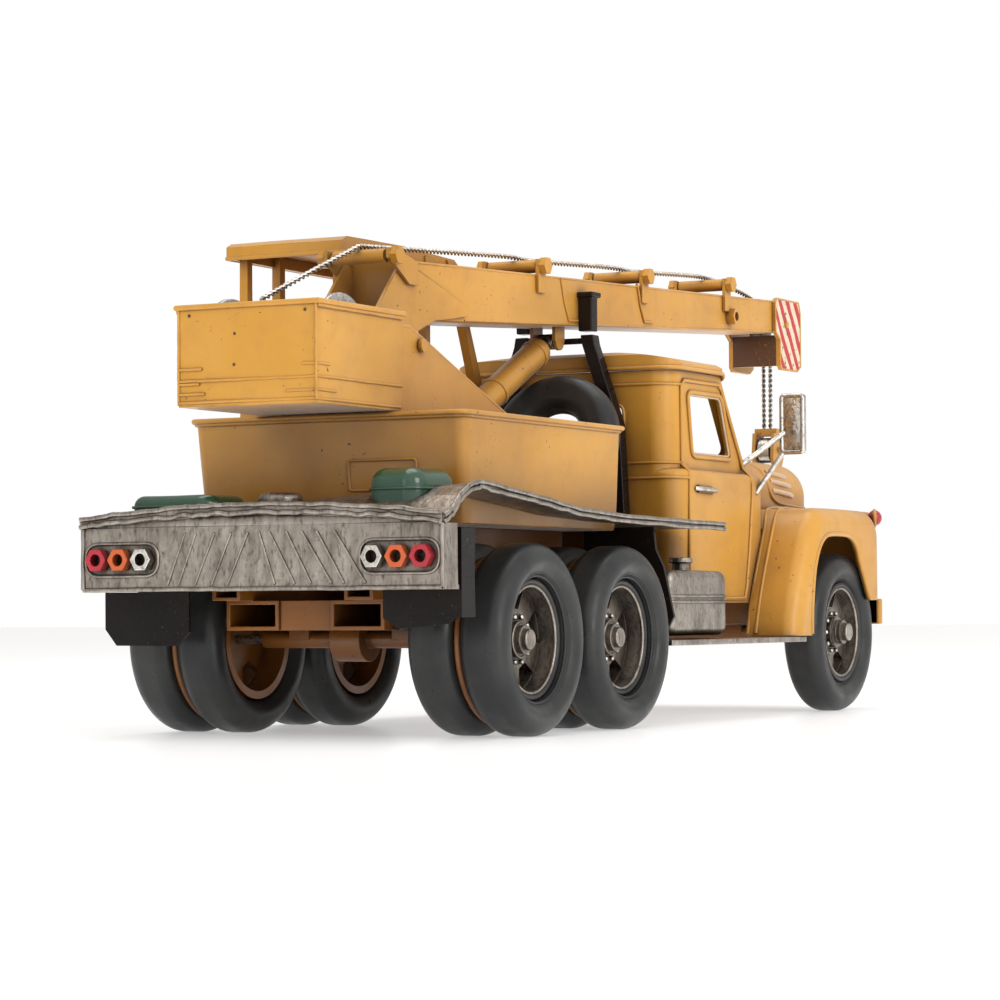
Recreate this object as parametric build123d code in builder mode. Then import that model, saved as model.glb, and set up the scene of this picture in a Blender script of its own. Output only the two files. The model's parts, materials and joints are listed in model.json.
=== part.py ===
"""Toy crane truck: a three-axle lorry with a slewing crane, modelled as separate pieces.

Millimetres. +X points to the front bumper, +Y to the truck's left, +Z up. The origin is the middle
of the whole model's footprint, on the ground. Lengths along the truck are given as distances ahead
of the rear axle, and the three plane functions below turn them into the part's own frame.
"""

import os
from math import atan2, cos, degrees, hypot, radians, sin, tan

from build123d import *

# driving dimensions
OVERALL_REAR = 68.0  # counterweight's rear face behind the rear axle
OVERALL_FRONT = 370.0  # boom head's front edge ahead of the rear axle
REAR_AXLE_X = (OVERALL_REAR - OVERALL_FRONT) / 2
TYRE_R = 32.0
REAR_AXLE = 0.0
MIDDLE_AXLE = 68.7
FRONT_AXLE = 276.9
CLEARANCE = 0.4

# wheels
RIM_R = 20.5
ROD_R = 1.5
ROD_BORE_R = 1.56
DUAL_ROD_HALF = 66.0
FRONT_ROD_HALF = 66.5
OUTER_TYRE = (56.0, 73.0)
INNER_TYRE = (36.5, 53.5)
FRONT_TYRE = (53.3, 69.8)
SPOKES = 5
STUDS = 10

# chassis
RAIL_IN = 10.0
RAIL_OUT = 30.5
RAIL_LOW = 35.4
RAIL_TOP = 45.4
UPPER_RAIL_TOP = 50.5
RAIL_WALL = 1.4
BUMPER_X = -61.9
BUMPER_HALF = 68.7
BUMPER_LOW = 48.5
BUMPER_TOP = 69.6
DECK_HALF = 69.0
DECK_T = 1.6
NUT_FLATS = 7.0
NUT_Z = 59.0

# tub and slewing
TUB_REAR = -18.9
TUB_FRONT = 101.5
TUB_HALF = 53.0
TUB_TOP = 107.4
TUB_LOW = 70.2
SLEW_X = (TUB_REAR + TUB_FRONT) / 2
SLEW_PIN_R = 6.0
TABLE_R = 44.0
TABLE_LOW = 92.4
TABLE_TOP = 97.0
FLOOR_LOW = 108.2
FLOOR_T = 1.6
CHEEK_IN = 24.4
CHEEK_OUT = 26.0

# counterweight box and winch
BOX_REAR = -OVERALL_REAR
BOX_FRONT = -12.7
BOX_HALF = 26.2
BOX_TOP = 141.1
BOX_WALL = 1.4
DRUM_X = -44.0
DRUM_Z = 128.5
DRUM_FLANGE_R = 17.0
DRUM_SHAFT_R = 2.0
WOUND_R = 14.8

# boom
PIVOT_X = 0.0
PIVOT_Z = 131.0
PIN_R = 1.6
BOOM_HALF = 10.5
BOOM_WALL = 1.2
BOOM_REAR = 17.0
BOOM_FRONT = 346.0
BOOM_TOP_REAR = 162.8
BOOM_TOP_FRONT = 176.2
BOOM_LOW_REAR = 142.6
BOOM_LOW_FRONT = 162.0
ROLLERS = ((5.0, 163.0), (118.8, 170.0), (209.3, 174.2), (291.0, 178.2))
ROLLER_R = 2.5
ROLLER_BOLT_R = 1.2
HEAD_SHEAVE = (353.0, 165.9)
SHEAVE_GROOVE_R = 6.0
CABLE_R = 0.9
CABLE_OVER_ROLLER = ROLLER_R + 0.3 + CABLE_R
FALL_X = 360.0
HOOK_PIVOT_Z = 158.0
REST_X = 154.0

# lift cylinder: lower end A on the turntable, upper end B under the boom
LIFT_A = (62.0, 102.0)
LIFT_B = (146.0, 144.0)
LIFT_BARREL_R = 5.2
LIFT_ROD_R = 2.6
LIFT_BARREL_LENGTH = 86.0

# cab and front
CAB_REAR = 158.0
CAB_FRONT = 236.0
CAB_LOW_HALF = 50.0
CAB_HALF = 46.0
CAB_FLOOR = 44.0
BELT_Z = 95.0
CAB_WALL = 1.6
HOOD_FRONT = 311.0
HOOD_HALF = 40.5
FENDER_HALF = 72.0
FENDER_SWEEP = ((221.9, 45.5), (229.9, 62.2), (236.2, 73.1), (242.5, 79.4))
FENDER_REAR = 217.7
FENDER_FRONT = 311.0
FENDER_TOP = 82.0

os.makedirs("parts", exist_ok=True)


def side(y):
    """Plane seen from the truck's right side: local x ahead of the rear axle, local y height."""
    return Plane(origin=(REAR_AXLE_X, y, 0), x_dir=(1, 0, 0), z_dir=(0, -1, 0))


def plan(z):
    """Horizontal plane: local x ahead of the rear axle, local y to the truck's left."""
    return Plane(origin=(REAR_AXLE_X, 0, z), x_dir=(1, 0, 0), z_dir=(0, 0, 1))


def across(x):
    """Plane across the truck at x ahead of the rear axle: local x is left, local y is height."""
    return Plane(origin=(REAR_AXLE_X + x, 0, 0), x_dir=(0, 1, 0), z_dir=(1, 0, 0))


def block(x_rear, x_front, y_right, y_left, z_low, z_high, mode=Mode.ADD):
    """A box between the given limits, x measured ahead of the rear axle."""
    centre = (REAR_AXLE_X + (x_rear + x_front) / 2, (y_right + y_left) / 2, (z_low + z_high) / 2)
    with Locations(centre):
        Box(x_front - x_rear, y_left - y_right, z_high - z_low, mode=mode)


def rod_across(x, z, radius, y_right, y_left, mode=Mode.ADD):
    """A cylinder along Y between two widths."""
    with Locations(Location((REAR_AXLE_X + x, (y_right + y_left) / 2, z), (90, 0, 0))):
        Cylinder(radius, y_left - y_right, mode=mode)


def outline(plane, points):
    """A closed face with straight sides, returned as a sketch."""
    with BuildSketch(plane) as shape:
        with BuildLine():
            Polyline(*points, close=True)
        make_face()
    return shape.sketch


def save(builder, name):
    """Label a finished piece and write its STEP file."""
    builder.part.label = name
    export_step(builder.part, f"parts/{name}.step")


def mirrored(builder):
    """Add the other side's copy of everything made so far, mirrored left to right."""
    with BuildPart() as pair:
        add(builder.part)
        add(mirror(builder.part, about=Plane.XZ, mode=Mode.PRIVATE))
    return pair


# ---------------------------------------------------------------- wheels
TYRE_SHOULDER = 5.6
CAP_R = 3.6


def tyre_solid(axle, y_in, y_out):
    """One smooth tyre with rounded shoulders on the left side, its bore on the rim."""
    middle = (y_in + y_out) / 2
    with BuildPart() as tyre:
        with BuildSketch(Plane.XY):
            with Locations(((RIM_R + TYRE_R) / 2, 0)):
                RectangleRounded(TYRE_R - RIM_R, y_out - y_in, TYRE_SHOULDER)
        revolve(axis=Axis.Y)
    return tyre.part.moved(Location((REAR_AXLE_X + axle, middle, TYRE_R)))


def rim_solid(axle, rod_half, y_in, y_out, face_y, hub_y):
    """One pressed wheel on the left: barrel, five-spoke disc, hub flange with studs, stepped cap."""
    disc_t = 2.0
    flange_y = face_y + 0.8
    reach = hub_y - flange_y
    with BuildPart() as rim:
        with BuildSketch(Plane.XZ):
            Circle(RIM_R - 0.05)
            Circle(RIM_R - 2.8, mode=Mode.SUBTRACT)
        extrude(amount=-(y_out - y_in))
        with BuildSketch(Plane.XZ.offset(-(face_y - y_in - disc_t))):
            Circle(RIM_R - 1.2)
            with PolarLocations(13.6, SPOKES, start_angle=14):
                Trapezoid(12.0, 6.8, 62, rotation=90, mode=Mode.SUBTRACT)
        extrude(amount=-disc_t)
        with BuildSketch(Plane.XZ.offset(-(face_y - y_in))):
            Circle(9.3)
        extrude(amount=-0.8)
        with BuildSketch(Plane.XZ.offset(-(flange_y - y_in))):
            with PolarLocations(7.8, STUDS):
                Circle(0.85)
        extrude(amount=-0.9)
        for radius, share in ((6.2, 0.32), (4.8, 0.66), (CAP_R, 1.0)):
            with BuildSketch(Plane.XZ.offset(-(flange_y - y_in))):
                Circle(radius)
            extrude(amount=-reach * share)
        circles = rim.edges().filter_by(GeomType.CIRCLE)
        cap_edges = circles.filter_by(lambda e: abs(e.radius - CAP_R) < 0.01)
        fillet(cap_edges.sort_by(Axis.Y)[-1], 0.8)
        with BuildSketch(Plane.XZ):
            Circle(ROD_R)
        extrude(amount=-(rod_half - y_in), mode=Mode.SUBTRACT)
    return rim.part.moved(Location((REAR_AXLE_X + axle, y_in, TYRE_R)))


def axle_set(name, axle, tyres, rims, rod_half):
    """Write one axle's rod, tyres and rims; each node holds the pieces of both sides."""
    with BuildPart() as rod:
        rod_across(axle, TYRE_R, ROD_R, -rod_half, rod_half)
    save(rod, f"{name}_axle_rod")
    with BuildPart() as half:
        for y_in, y_out in tyres:
            add(tyre_solid(axle, y_in, y_out))
    save(mirrored(half), f"{name}_tyres")
    for rim_name, limits in rims.items():
        with BuildPart() as half:
            add(rim_solid(axle, rod_half, *limits))
        save(mirrored(half), f"{name}_{rim_name}")


DUAL_RIMS = {
    "outer_rims": (OUTER_TYRE[0], OUTER_TYRE[1] - 6.0, 61.0, 67.6),
    "inner_rims": (INNER_TYRE[0] + 2.2, INNER_TYRE[1] + 2.1, 49.4, 53.8),
}
FRONT_RIMS = {"rims": (FRONT_TYRE[0] + 1.0, FRONT_TYRE[1] - 3.4, 62.0, 70.9)}
axle_set("rear", REAR_AXLE, (OUTER_TYRE, INNER_TYRE), DUAL_RIMS, DUAL_ROD_HALF)
axle_set("middle", MIDDLE_AXLE, (OUTER_TYRE, INNER_TYRE), DUAL_RIMS, DUAL_ROD_HALF)
axle_set("front", FRONT_AXLE, (FRONT_TYRE,), FRONT_RIMS, FRONT_ROD_HALF)

# ---------------------------------------------------------------- chassis frame
with BuildPart() as rail:
    with BuildSketch(across(-33)):
        with Locations(((RAIL_IN + RAIL_OUT) / 2, (RAIL_LOW + RAIL_TOP) / 2)):
            Rectangle(RAIL_OUT - RAIL_IN, RAIL_TOP - RAIL_LOW)
            Rectangle(RAIL_OUT - RAIL_IN - 2 * RAIL_WALL, RAIL_TOP - RAIL_LOW - 2 * RAIL_WALL,
                      mode=Mode.SUBTRACT)
    extrude(amount=343)
    with BuildSketch(across(-41)):
        with Locations(((20 + 31) / 2, (RAIL_TOP + UPPER_RAIL_TOP) / 2)):
            Rectangle(11, UPPER_RAIL_TOP - RAIL_TOP)
            Rectangle(11 - 2 * RAIL_WALL, UPPER_RAIL_TOP - RAIL_TOP - 2 * 1.1, mode=Mode.SUBTRACT)
    extrude(amount=193)
save(mirrored(rail), "frame_rails")

with BuildPart() as subframe:
    for x in (-32.0, 34.3, 130.0, 200.0):
        block(x, x + 3, -RAIL_IN, RAIL_IN, RAIL_LOW, RAIL_TOP)
    block(306, 309, -RAIL_IN, RAIL_IN, RAIL_LOW, RAIL_TOP)
    block(-6, 96, -31, -20, UPPER_RAIL_TOP, TUB_LOW)
    block(-6, 96, 20, 31, UPPER_RAIL_TOP, TUB_LOW)
    block(-40, -37, -31, 31, UPPER_RAIL_TOP, 72.6)
    block(112, 115, -34, 34, UPPER_RAIL_TOP, 71.8)
    block(147, 150, -34, 34, UPPER_RAIL_TOP, 71.8)
save(subframe, "subframe")


def axle_housing(axle, half_length, bulge_r):
    """A tube around an axle rod with a round gear case in the middle and pads up to the rails."""
    rod_across(axle, TYRE_R, 2.9, -half_length, half_length)
    if bulge_r:
        rod_across(axle, TYRE_R, bulge_r, -6, 6)
    for y in (-(RAIL_IN + RAIL_OUT) / 2, (RAIL_IN + RAIL_OUT) / 2):
        block(axle - 3.5, axle + 3.5, y - 4, y + 4, TYRE_R, RAIL_LOW)
    rod_across(axle, TYRE_R, ROD_BORE_R, -half_length, half_length, mode=Mode.SUBTRACT)


with BuildPart() as housings:
    axle_housing(REAR_AXLE, 35.6, 7.5)
    axle_housing(MIDDLE_AXLE, 35.6, 7.5)
    axle_housing(FRONT_AXLE, 51.5, 0)
save(housings, "axle_housings")

# ---------------------------------------------------------------- deck and its fittings
RIGHT_EDGE = ((-62, 71.6), (-57, 73.9), (-51.7, 78.5), (-45, 81.9), (-38, 83.1), (-24.6, 81.9),
              (3.8, 79.2), (33.5, 76.0), (70.6, 74.4), (155.5, 73.4))
MIDDLE_EDGE = ((-62, 75.4), (-57, 76.0), (-51.7, 76.6), (-45, 77.4), (-38, 78.0), (-24.6, 78.2),
               (3.8, 77.0), (33.5, 75.6), (70.6, 74.4), (155.5, 73.4))
LEFT_EDGE = ((-62, 71.6), (-57, 72.8), (-51.7, 73.8), (-45, 74.4), (-38, 74.8), (-24.6, 75.0),
             (3.8, 75.0), (33.5, 74.8), (70.6, 74.2), (155.5, 73.4))
DECK_EDGES = ((-DECK_HALF, RIGHT_EDGE), (0, MIDDLE_EDGE), (DECK_HALF, LEFT_EDGE))


def deck_solid(thickness):
    """The deck's crowned surface, from the right edge over the middle to the left, thickened down."""
    faces = []
    for y, edge in DECK_EDGES:
        lower = tuple((x, z - thickness) for x, z in reversed(edge))
        faces.append(outline(side(y), edge + lower))
    return loft(faces, ruled=True, mode=Mode.PRIVATE)


with BuildPart() as deck:
    add(deck_solid(DECK_T))
    block(TUB_REAR + 2.2, TUB_FRONT - 0.1, -52.5, 52.5, 60, 100, mode=Mode.SUBTRACT)
    with BuildSketch(across(BUMPER_X - 1.2)):
        with BuildLine():
            ThreePointArc((-BUMPER_HALF, 72.4), (0, 76.2), (BUMPER_HALF, 72.4))
            Line((BUMPER_HALF, 72.4), (BUMPER_HALF, 69.9))
            ThreePointArc((BUMPER_HALF, 69.9), (0, 73.4), (-BUMPER_HALF, 69.9))
            Line((-BUMPER_HALF, 69.9), (-BUMPER_HALF, 72.4))
        make_face()
    extrude(amount=2.6)
save(deck, "deck")

with BuildPart() as bumper:
    block(BUMPER_X, BUMPER_X + 1.6, -BUMPER_HALF, BUMPER_HALF, BUMPER_LOW, BUMPER_TOP)
    block(BUMPER_X, BUMPER_X + 9.3, -BUMPER_HALF, -BUMPER_HALF + 1.4, BUMPER_LOW, 69.4)
    block(BUMPER_X, BUMPER_X + 9.3, BUMPER_HALF - 1.4, BUMPER_HALF, BUMPER_LOW, 69.4)
    block(BUMPER_X, BUMPER_X + 10, -BUMPER_HALF, BUMPER_HALF, BUMPER_LOW, BUMPER_LOW + 1.4)
    block(BUMPER_X + 10, -40, -31, -20, UPPER_RAIL_TOP + 0.1, UPPER_RAIL_TOP + 1.5)
    block(BUMPER_X + 10, -40, 20, 31, UPPER_RAIL_TOP + 0.1, UPPER_RAIL_TOP + 1.5)
    block(BUMPER_X + 1, BUMPER_X + 10, -31, 31, BUMPER_LOW, UPPER_RAIL_TOP + 1.5)
    with BuildSketch(across(BUMPER_X)):
        with Locations((-52.8, NUT_Z), (52.8, NUT_Z)):
            SlotOverall(29, 10.4)
    extrude(amount=0.5, mode=Mode.SUBTRACT)
save(bumper, "rear_bumper")

for colour, y in {"red": 61.7, "orange": 52.8, "silver": 43.9}.items():
    with BuildPart() as nuts:
        with BuildSketch(across(BUMPER_X + 0.5)):
            with Locations((-y, NUT_Z), (y, NUT_Z)):
                RegularPolygon(NUT_FLATS / 2, 6, major_radius=False)
                Circle(2.0, mode=Mode.SUBTRACT)
        extrude(amount=-3.4)
    save(nuts, f"lamp_nuts_{colour}")

with BuildPart() as lockers:
    block(-56, -31, 21.5, 54.7, 70, 80.4)
    block(-54, -27, -55.3, -35.5, 70, 87.6)
    fillet(lockers.edges().filter_by(Axis.Z), 6)
    for top, round_off in ((80.4, 3.6), (87.6, 5.2)):
        lid = lockers.faces().filter_by(lambda face: abs(face.center().Z - top) < 0.1)
        fillet(lid.edges(), round_off)
    add(deck_solid(30), mode=Mode.SUBTRACT)
save(lockers, "lockers")

with BuildPart() as cap:
    with BuildSketch(plan(72)):
        with Locations((-50, -1.5)):
            Circle(7.2)
    extrude(amount=8.4)
    fillet(cap.faces().sort_by(Axis.Z)[-1].edges(), 2.2)
    add(deck_solid(30), mode=Mode.SUBTRACT)
save(cap, "deck_cap")

with BuildPart() as flaps:
    with BuildSketch(across(-50.5)):
        with BuildLine():
            Polyline((34, 48.4), (67.5, 48.4), (67.5, 36), (63, 30.5), (38.5, 30.5), (34, 35),
                     close=True)
        make_face()
        with BuildLine():
            Polyline((-40.2, 48.4), (-67.4, 48.4), (-67.4, 39.6), (-63.5, 37.6), (-46, 35.8),
                     (-40.2, 39.4), close=True)
        make_face()
    extrude(amount=1.2)
    block(-50.5, -41.4, -68.9, -67.3, 39.6, 68)
    block(-50.5, -36, 67.3, 68.9, 52, 68)
    for hand in (-1, 1):
        corners = ((35, 71.4), (63, 71.4), (64, 63), (67, 57), (71, 39), (68, 33.5), (37, 33.5))
        add(extrude(outline(across(105), [(hand * y, z) for y, z in corners]), amount=1.3,
                    mode=Mode.PRIVATE))
save(flaps, "mud_flaps")

# ---------------------------------------------------------------- tub and slewing seat
TUB_STATIONS = ((TUB_LOW, 5, 1, 2), (TUB_LOW + 7, 3, 0.6, 1.2), (TUB_TOP, 0, 0, 0))


def tub_solid(inset, raised):
    """The tub's leaning box, each wall moved in by inset and the floor raised."""
    sections = []
    for z, rear, front, half in TUB_STATIONS:
        with BuildSketch(plan(max(z, TUB_LOW + raised))) as section:
            with Locations(((TUB_REAR + rear + TUB_FRONT - front) / 2, 0)):
                RectangleRounded(TUB_FRONT - front - TUB_REAR - rear - 2 * inset,
                                 2 * (TUB_HALF - half - inset), 4 - inset)
        sections.append(section.sketch)
    return loft(sections, ruled=True, mode=Mode.PRIVATE)


with BuildPart() as tub:
    add(tub_solid(0, 0))
    add(tub_solid(1.5, 1.5), mode=Mode.SUBTRACT)
    with BuildSketch(plan(TUB_TOP - 2.2)):
        with Locations((SLEW_X, 0)):
            RectangleRounded(TUB_FRONT - TUB_REAR + 1.6, 2 * TUB_HALF + 1.6, 4.6)
            RectangleRounded(TUB_FRONT - TUB_REAR - 2.6, 2 * TUB_HALF - 2.6, 3, mode=Mode.SUBTRACT)
    extrude(amount=2.2)
save(tub, "tub")

with BuildPart() as pedestal:
    with BuildSketch(plan(TUB_LOW + 1.5)):
        with Locations((SLEW_X, 0)):
            Circle(30)
            Circle(27.5, mode=Mode.SUBTRACT)
    extrude(amount=TABLE_LOW - CLEARANCE - TUB_LOW - 1.5)
    with BuildSketch(plan(TABLE_LOW - CLEARANCE - 3)):
        with Locations((SLEW_X, 0)):
            Circle(30)
    extrude(amount=3)
    with BuildSketch(plan(TABLE_LOW - CLEARANCE)):
        with Locations((SLEW_X, 0)):
            Circle(SLEW_PIN_R)
    extrude(amount=TABLE_TOP + 4 - TABLE_LOW)
save(pedestal, "slew_pedestal")

with BuildPart() as spare:
    with BuildSketch(Plane.XY):
        with Locations((19.0, 0)):
            RectangleRounded(14.0, 12, 5.2)
    revolve(axis=Axis.Y)
spare_place = Location((REAR_AXLE_X + 123.0, -14.5, 104.2), (0, 18, 90))
with BuildPart() as spare_tyre:
    add(spare.part.moved(spare_place))
save(spare_tyre, "spare_tyre")

# ---------------------------------------------------------------- boom rest
REST_TOP = 146.6
with BuildPart() as rest:
    for hand in (-1, 1):
        stations = ((REST_TOP, 14.0), (143, 14.6), (112, 25.0), (73.6, 27.0))
        for (z_high, y_high), (z_low, y_low) in zip(stations, stations[1:]):
            with BuildSketch(plan(z_low)):
                with Locations((REST_X, hand * y_low)):
                    Rectangle(5.6, 5.4)
            with BuildSketch(plan(z_high)):
                with Locations((REST_X, hand * y_high)):
                    Rectangle(5.6, 5.4)
            loft(ruled=True)
    block(REST_X - 1.2, REST_X + 1.2, -14.4, 14.4, 143.4, 145.6)
save(rest, "boom_rest")

# ---------------------------------------------------------------- cab
with BuildPart() as cab:
    block(CAB_REAR, CAB_FRONT, -CAB_LOW_HALF, CAB_LOW_HALF, CAB_FLOOR, BELT_Z)
    fillet(cab.edges().filter_by(Axis.Z).group_by(Axis.X)[0], 9)
    fillet(cab.edges().filter_by(Axis.Z).group_by(Axis.X)[-1], 2)
    fillet(cab.faces().sort_by(Axis.Z)[-1].edges(), 2.5)
    cowl = ((CAB_REAR, BELT_Z - 3), (CAB_FRONT - 1, BELT_Z - 3), (228, 98), (204, 132.6),
            (CAB_REAR, 132.6))
    with BuildPart(mode=Mode.PRIVATE) as upper:
        add(extrude(outline(side(CAB_HALF), cowl), amount=2 * CAB_HALF, mode=Mode.PRIVATE))
        fillet(upper.edges().filter_by(Axis.Z), 9)
    add(upper.part)
    with BuildPart(mode=Mode.PRIVATE) as low_room:
        block(CAB_REAR + CAB_WALL, CAB_FRONT - CAB_WALL, -CAB_LOW_HALF + 1.8, CAB_LOW_HALF - 1.8,
              CAB_FLOOR + 3.4, BELT_Z - 3.2)
        fillet(low_room.edges().filter_by(Axis.Z).group_by(Axis.X)[0], 7.4)
    add(low_room.part, mode=Mode.SUBTRACT)
    block(CAB_REAR - 1, CAB_FRONT + 1, -31.2, 31.2, CAB_FLOOR - 1, RAIL_TOP + 0.2,
          mode=Mode.SUBTRACT)
    room = ((CAB_REAR + CAB_WALL, BELT_Z - 4), (CAB_FRONT - 4, BELT_Z - 4), (225.4, 98),
            (202.6, 133), (CAB_REAR + CAB_WALL, 133))
    with BuildPart(mode=Mode.PRIVATE) as high_room:
        add(extrude(outline(side(CAB_HALF - CAB_WALL), room), amount=2 * (CAB_HALF - CAB_WALL),
                    mode=Mode.PRIVATE))
        fillet(high_room.edges().filter_by(Axis.Z), 7.4)
    add(high_room.part, mode=Mode.SUBTRACT)
    window = ((174, 123.8), (203.6, 123.8), (213, 101.4), (177.6, 101.4))
    with BuildPart(mode=Mode.PRIVATE) as side_window:
        add(extrude(outline(side(60), window), amount=120, mode=Mode.PRIVATE))
        fillet(side_window.edges().filter_by(Axis.Y), 2.2)
    add(side_window.part, mode=Mode.SUBTRACT)
    with BuildSketch(across(CAB_REAR - 4)):
        with Locations((0, 111)):
            RectangleRounded(52, 17, 3.5)
    extrude(amount=10, mode=Mode.SUBTRACT)
    with BuildSketch(across(CAB_FRONT - 40)):
        with Locations((0, 115)):
            RectangleRounded(78, 25, 4)
    extrude(amount=45, mode=Mode.SUBTRACT)
save(cab, "cab_shell")

with BuildPart() as roof:
    with BuildSketch(side(CAB_HALF + 2.0)):
        with BuildLine():
            Polyline((157, 132.8), (204, 132.8), (208.4, 130.6), (209.4, 132.0))
            Spline((209.4, 132.0), (202, 136.0), (192, 138.8), (176, 140.6), (157, 138.6),
                   tangents=((-1, 0.7), (-1, -0.25)))
            Line((157, 138.6), (157, 132.8))
        make_face()
    extrude(amount=2 * (CAB_HALF + 2.0))
    with BuildSketch(plan(128)):
        with Locations((183.2, 0)):
            RectangleRounded(52.4, 2 * (CAB_HALF + 2.0), 9)
    extrude(amount=16, mode=Mode.INTERSECT)
    with BuildSketch(across(156)) as dome:
        with BuildLine():
            ThreePointArc((48.2, 136.4), (0, 141.2), (-48.2, 136.4))
            Polyline((-48.2, 136.4), (-48.2, 130), (48.2, 130), (48.2, 136.4))
        make_face()
        fillet(dome.vertices().group_by(Axis.Z)[-1], 3.2)
    extrude(amount=60, mode=Mode.INTERSECT)
    room = ((161, 132), (199, 132), (199, 133.8), (189, 135.4), (176, 136.4), (161, 135.2))
    add(extrude(outline(side(40), room), amount=80, mode=Mode.PRIVATE), mode=Mode.SUBTRACT)
save(roof, "cab_roof")

with BuildPart() as hood:
    with BuildSketch(across(CAB_FRONT)):
        with Locations((0, 74)):
            RectangleRounded(2 * HOOD_HALF + 2, 58, 14)
    with BuildSketch(across(HOOD_FRONT - 8)):
        with Locations((0, 73.5)):
            RectangleRounded(2 * HOOD_HALF, 57, 14)
    with BuildSketch(across(HOOD_FRONT)):
        with Locations((0, 72)):
            RectangleRounded(2 * HOOD_HALF - 7, 49, 12)
    loft(ruled=True)
    block(CAB_FRONT - 1, HOOD_FRONT + 1, -44, 44, 40, 50, mode=Mode.SUBTRACT)
    offset(amount=-1.6, openings=hood.faces().sort_by(Axis.Z)[0])
save(hood, "hood")


# ---------------------------------------------------------------- fenders and front
def fender_profile(inset):
    """Side view of the fender's shell, moved in from the outside by inset."""
    with BuildSketch(side(0)) as shape:
        with BuildLine():
            sweep_line = [(x + inset, z - 0.4 * inset) for x, z in FENDER_SWEEP]
            Spline((FENDER_REAR + inset, 31 - inset), *sweep_line, (254, FENDER_TOP - inset),
                   tangents=((0.2, 1), (1, 0)))
            Polyline((254, FENDER_TOP - inset), (FENDER_FRONT - inset, FENDER_TOP - inset),
                     (FENDER_FRONT - inset, 45 - inset), (296.6, 45 - inset),
                     (296.6, 31 - inset), (FENDER_REAR + inset, 31 - inset))
        make_face()
        corners = shape.vertices().group_by(Axis.Y)[-1].sort_by(Axis.X)
        fillet(corners[-1], 12 - inset)
    return shape.sketch


with BuildPart() as fender:
    with BuildPart(mode=Mode.PRIVATE) as outer:
        add(extrude(fender_profile(0).moved(Location((0, FENDER_HALF, 0))),
                    amount=FENDER_HALF - HOOD_HALF - 1.3, mode=Mode.PRIVATE))
        rim_edges = outer.faces().sort_by(Axis.Y)[-1].edges()
        fillet(rim_edges.filter_by(lambda e: e.center().Z > 46), 7)
    add(outer.part)
    with BuildPart(mode=Mode.PRIVATE) as inner:
        add(extrude(fender_profile(1.6).moved(Location((0, FENDER_HALF - 1.6, 0))),
                    amount=FENDER_HALF - HOOD_HALF, mode=Mode.PRIVATE))
        rim_edges = inner.faces().sort_by(Axis.Y)[-1].edges()
        fillet(rim_edges.filter_by(lambda e: e.center().Z > 46), 5.4)
    add(inner.part, mode=Mode.SUBTRACT)
    with BuildSketch(side(FENDER_HALF + 1)):
        with BuildLine():
            Polyline((233.6, 20), (233.6, 40), (237.4, 59))
            RadiusArc((237.4, 59), (254, 71.5), 18)
            Line((254, 71.5), (273, 71.5))
            RadiusArc((273, 71.5), (285, 62), 15)
            Polyline((285, 62), (297, 45.4), (297, 20), (233.6, 20))
        make_face()
    extrude(amount=10, mode=Mode.SUBTRACT)
    block(FENDER_REAR - 1, CAB_FRONT + 0.6, 0, CAB_LOW_HALF + 0.5, 20, 90, mode=Mode.SUBTRACT)
save(mirrored(fender), "fenders")

with BuildPart() as boards:
    block(102.5, 229, 52, 71.5, 28.6, 30.6)
    block(103, 107, 31, 54, 28.6, 30.6)
    block(180, 184, 31, 54, 28.6, 30.6)
    for x in (103, 180):
        block(x, x + 4, RAIL_OUT, RAIL_OUT + 2, 28.6, 44)
save(mirrored(boards), "running_boards")

with BuildPart() as front_bumper:
    block(313, 317, -70, 70, 35, 45.5)
    fillet(front_bumper.edges().filter_by(Axis.Z), 1.4)
    block(310, 313.4, -28, -12, 36, 44.8)
    block(310, 313.4, 12, 28, 36, 44.8)
save(front_bumper, "front_bumper")

with BuildPart() as grille:
    with BuildSketch(across(HOOD_FRONT)):
        with Locations((0, 70.0)):
            RectangleRounded(60, 38, 8)
            for z in range(-14, 15, 4):
                with Locations((0, z)):
                    SlotOverall(50, 2.0, mode=Mode.SUBTRACT)
    extrude(amount=1.8)
save(grille, "grille")

with BuildPart() as headlamp:
    with BuildSketch(across(FENDER_FRONT)):
        with Locations((52, 66)):
            Circle(8)
    extrude(amount=3)
    fillet(headlamp.faces().sort_by(Axis.X)[-1].edges(), 2)
save(mirrored(headlamp), "headlamps")

with BuildPart() as tank:
    with BuildSketch(side(-34.5)):
        with Locations((138.5, 44)):
            RectangleRounded(50, 24, 4)
    extrude(amount=32)
    fillet(tank.faces().sort_by(Axis.Y)[0].edges(), 3)
    block(157.4, 170, -CAB_LOW_HALF - 0.4, -30, 30, 60, mode=Mode.SUBTRACT)
    with BuildSketch(plan(56)):
        with Locations((140, -58)):
            Circle(3.2)
    extrude(amount=3)
    with BuildSketch(plan(58.8)):
        with Locations((140, -58)):
            Circle(4.4)
    extrude(amount=2)
    block(128, 142, -36, -RAIL_OUT, 37, 44)
save(tank, "fuel_tank")


# ---------------------------------------------------------------- mirrors and lamps
def strut(start, end, radius):
    """A straight round rod between two points in the part's frame."""
    line = Edge.make_line(start, end)
    with BuildSketch(Plane(origin=start, z_dir=line.tangent_at(0))) as ring:
        Circle(radius)
    return sweep(ring.sketch, path=line, mode=Mode.PRIVATE)


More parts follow.
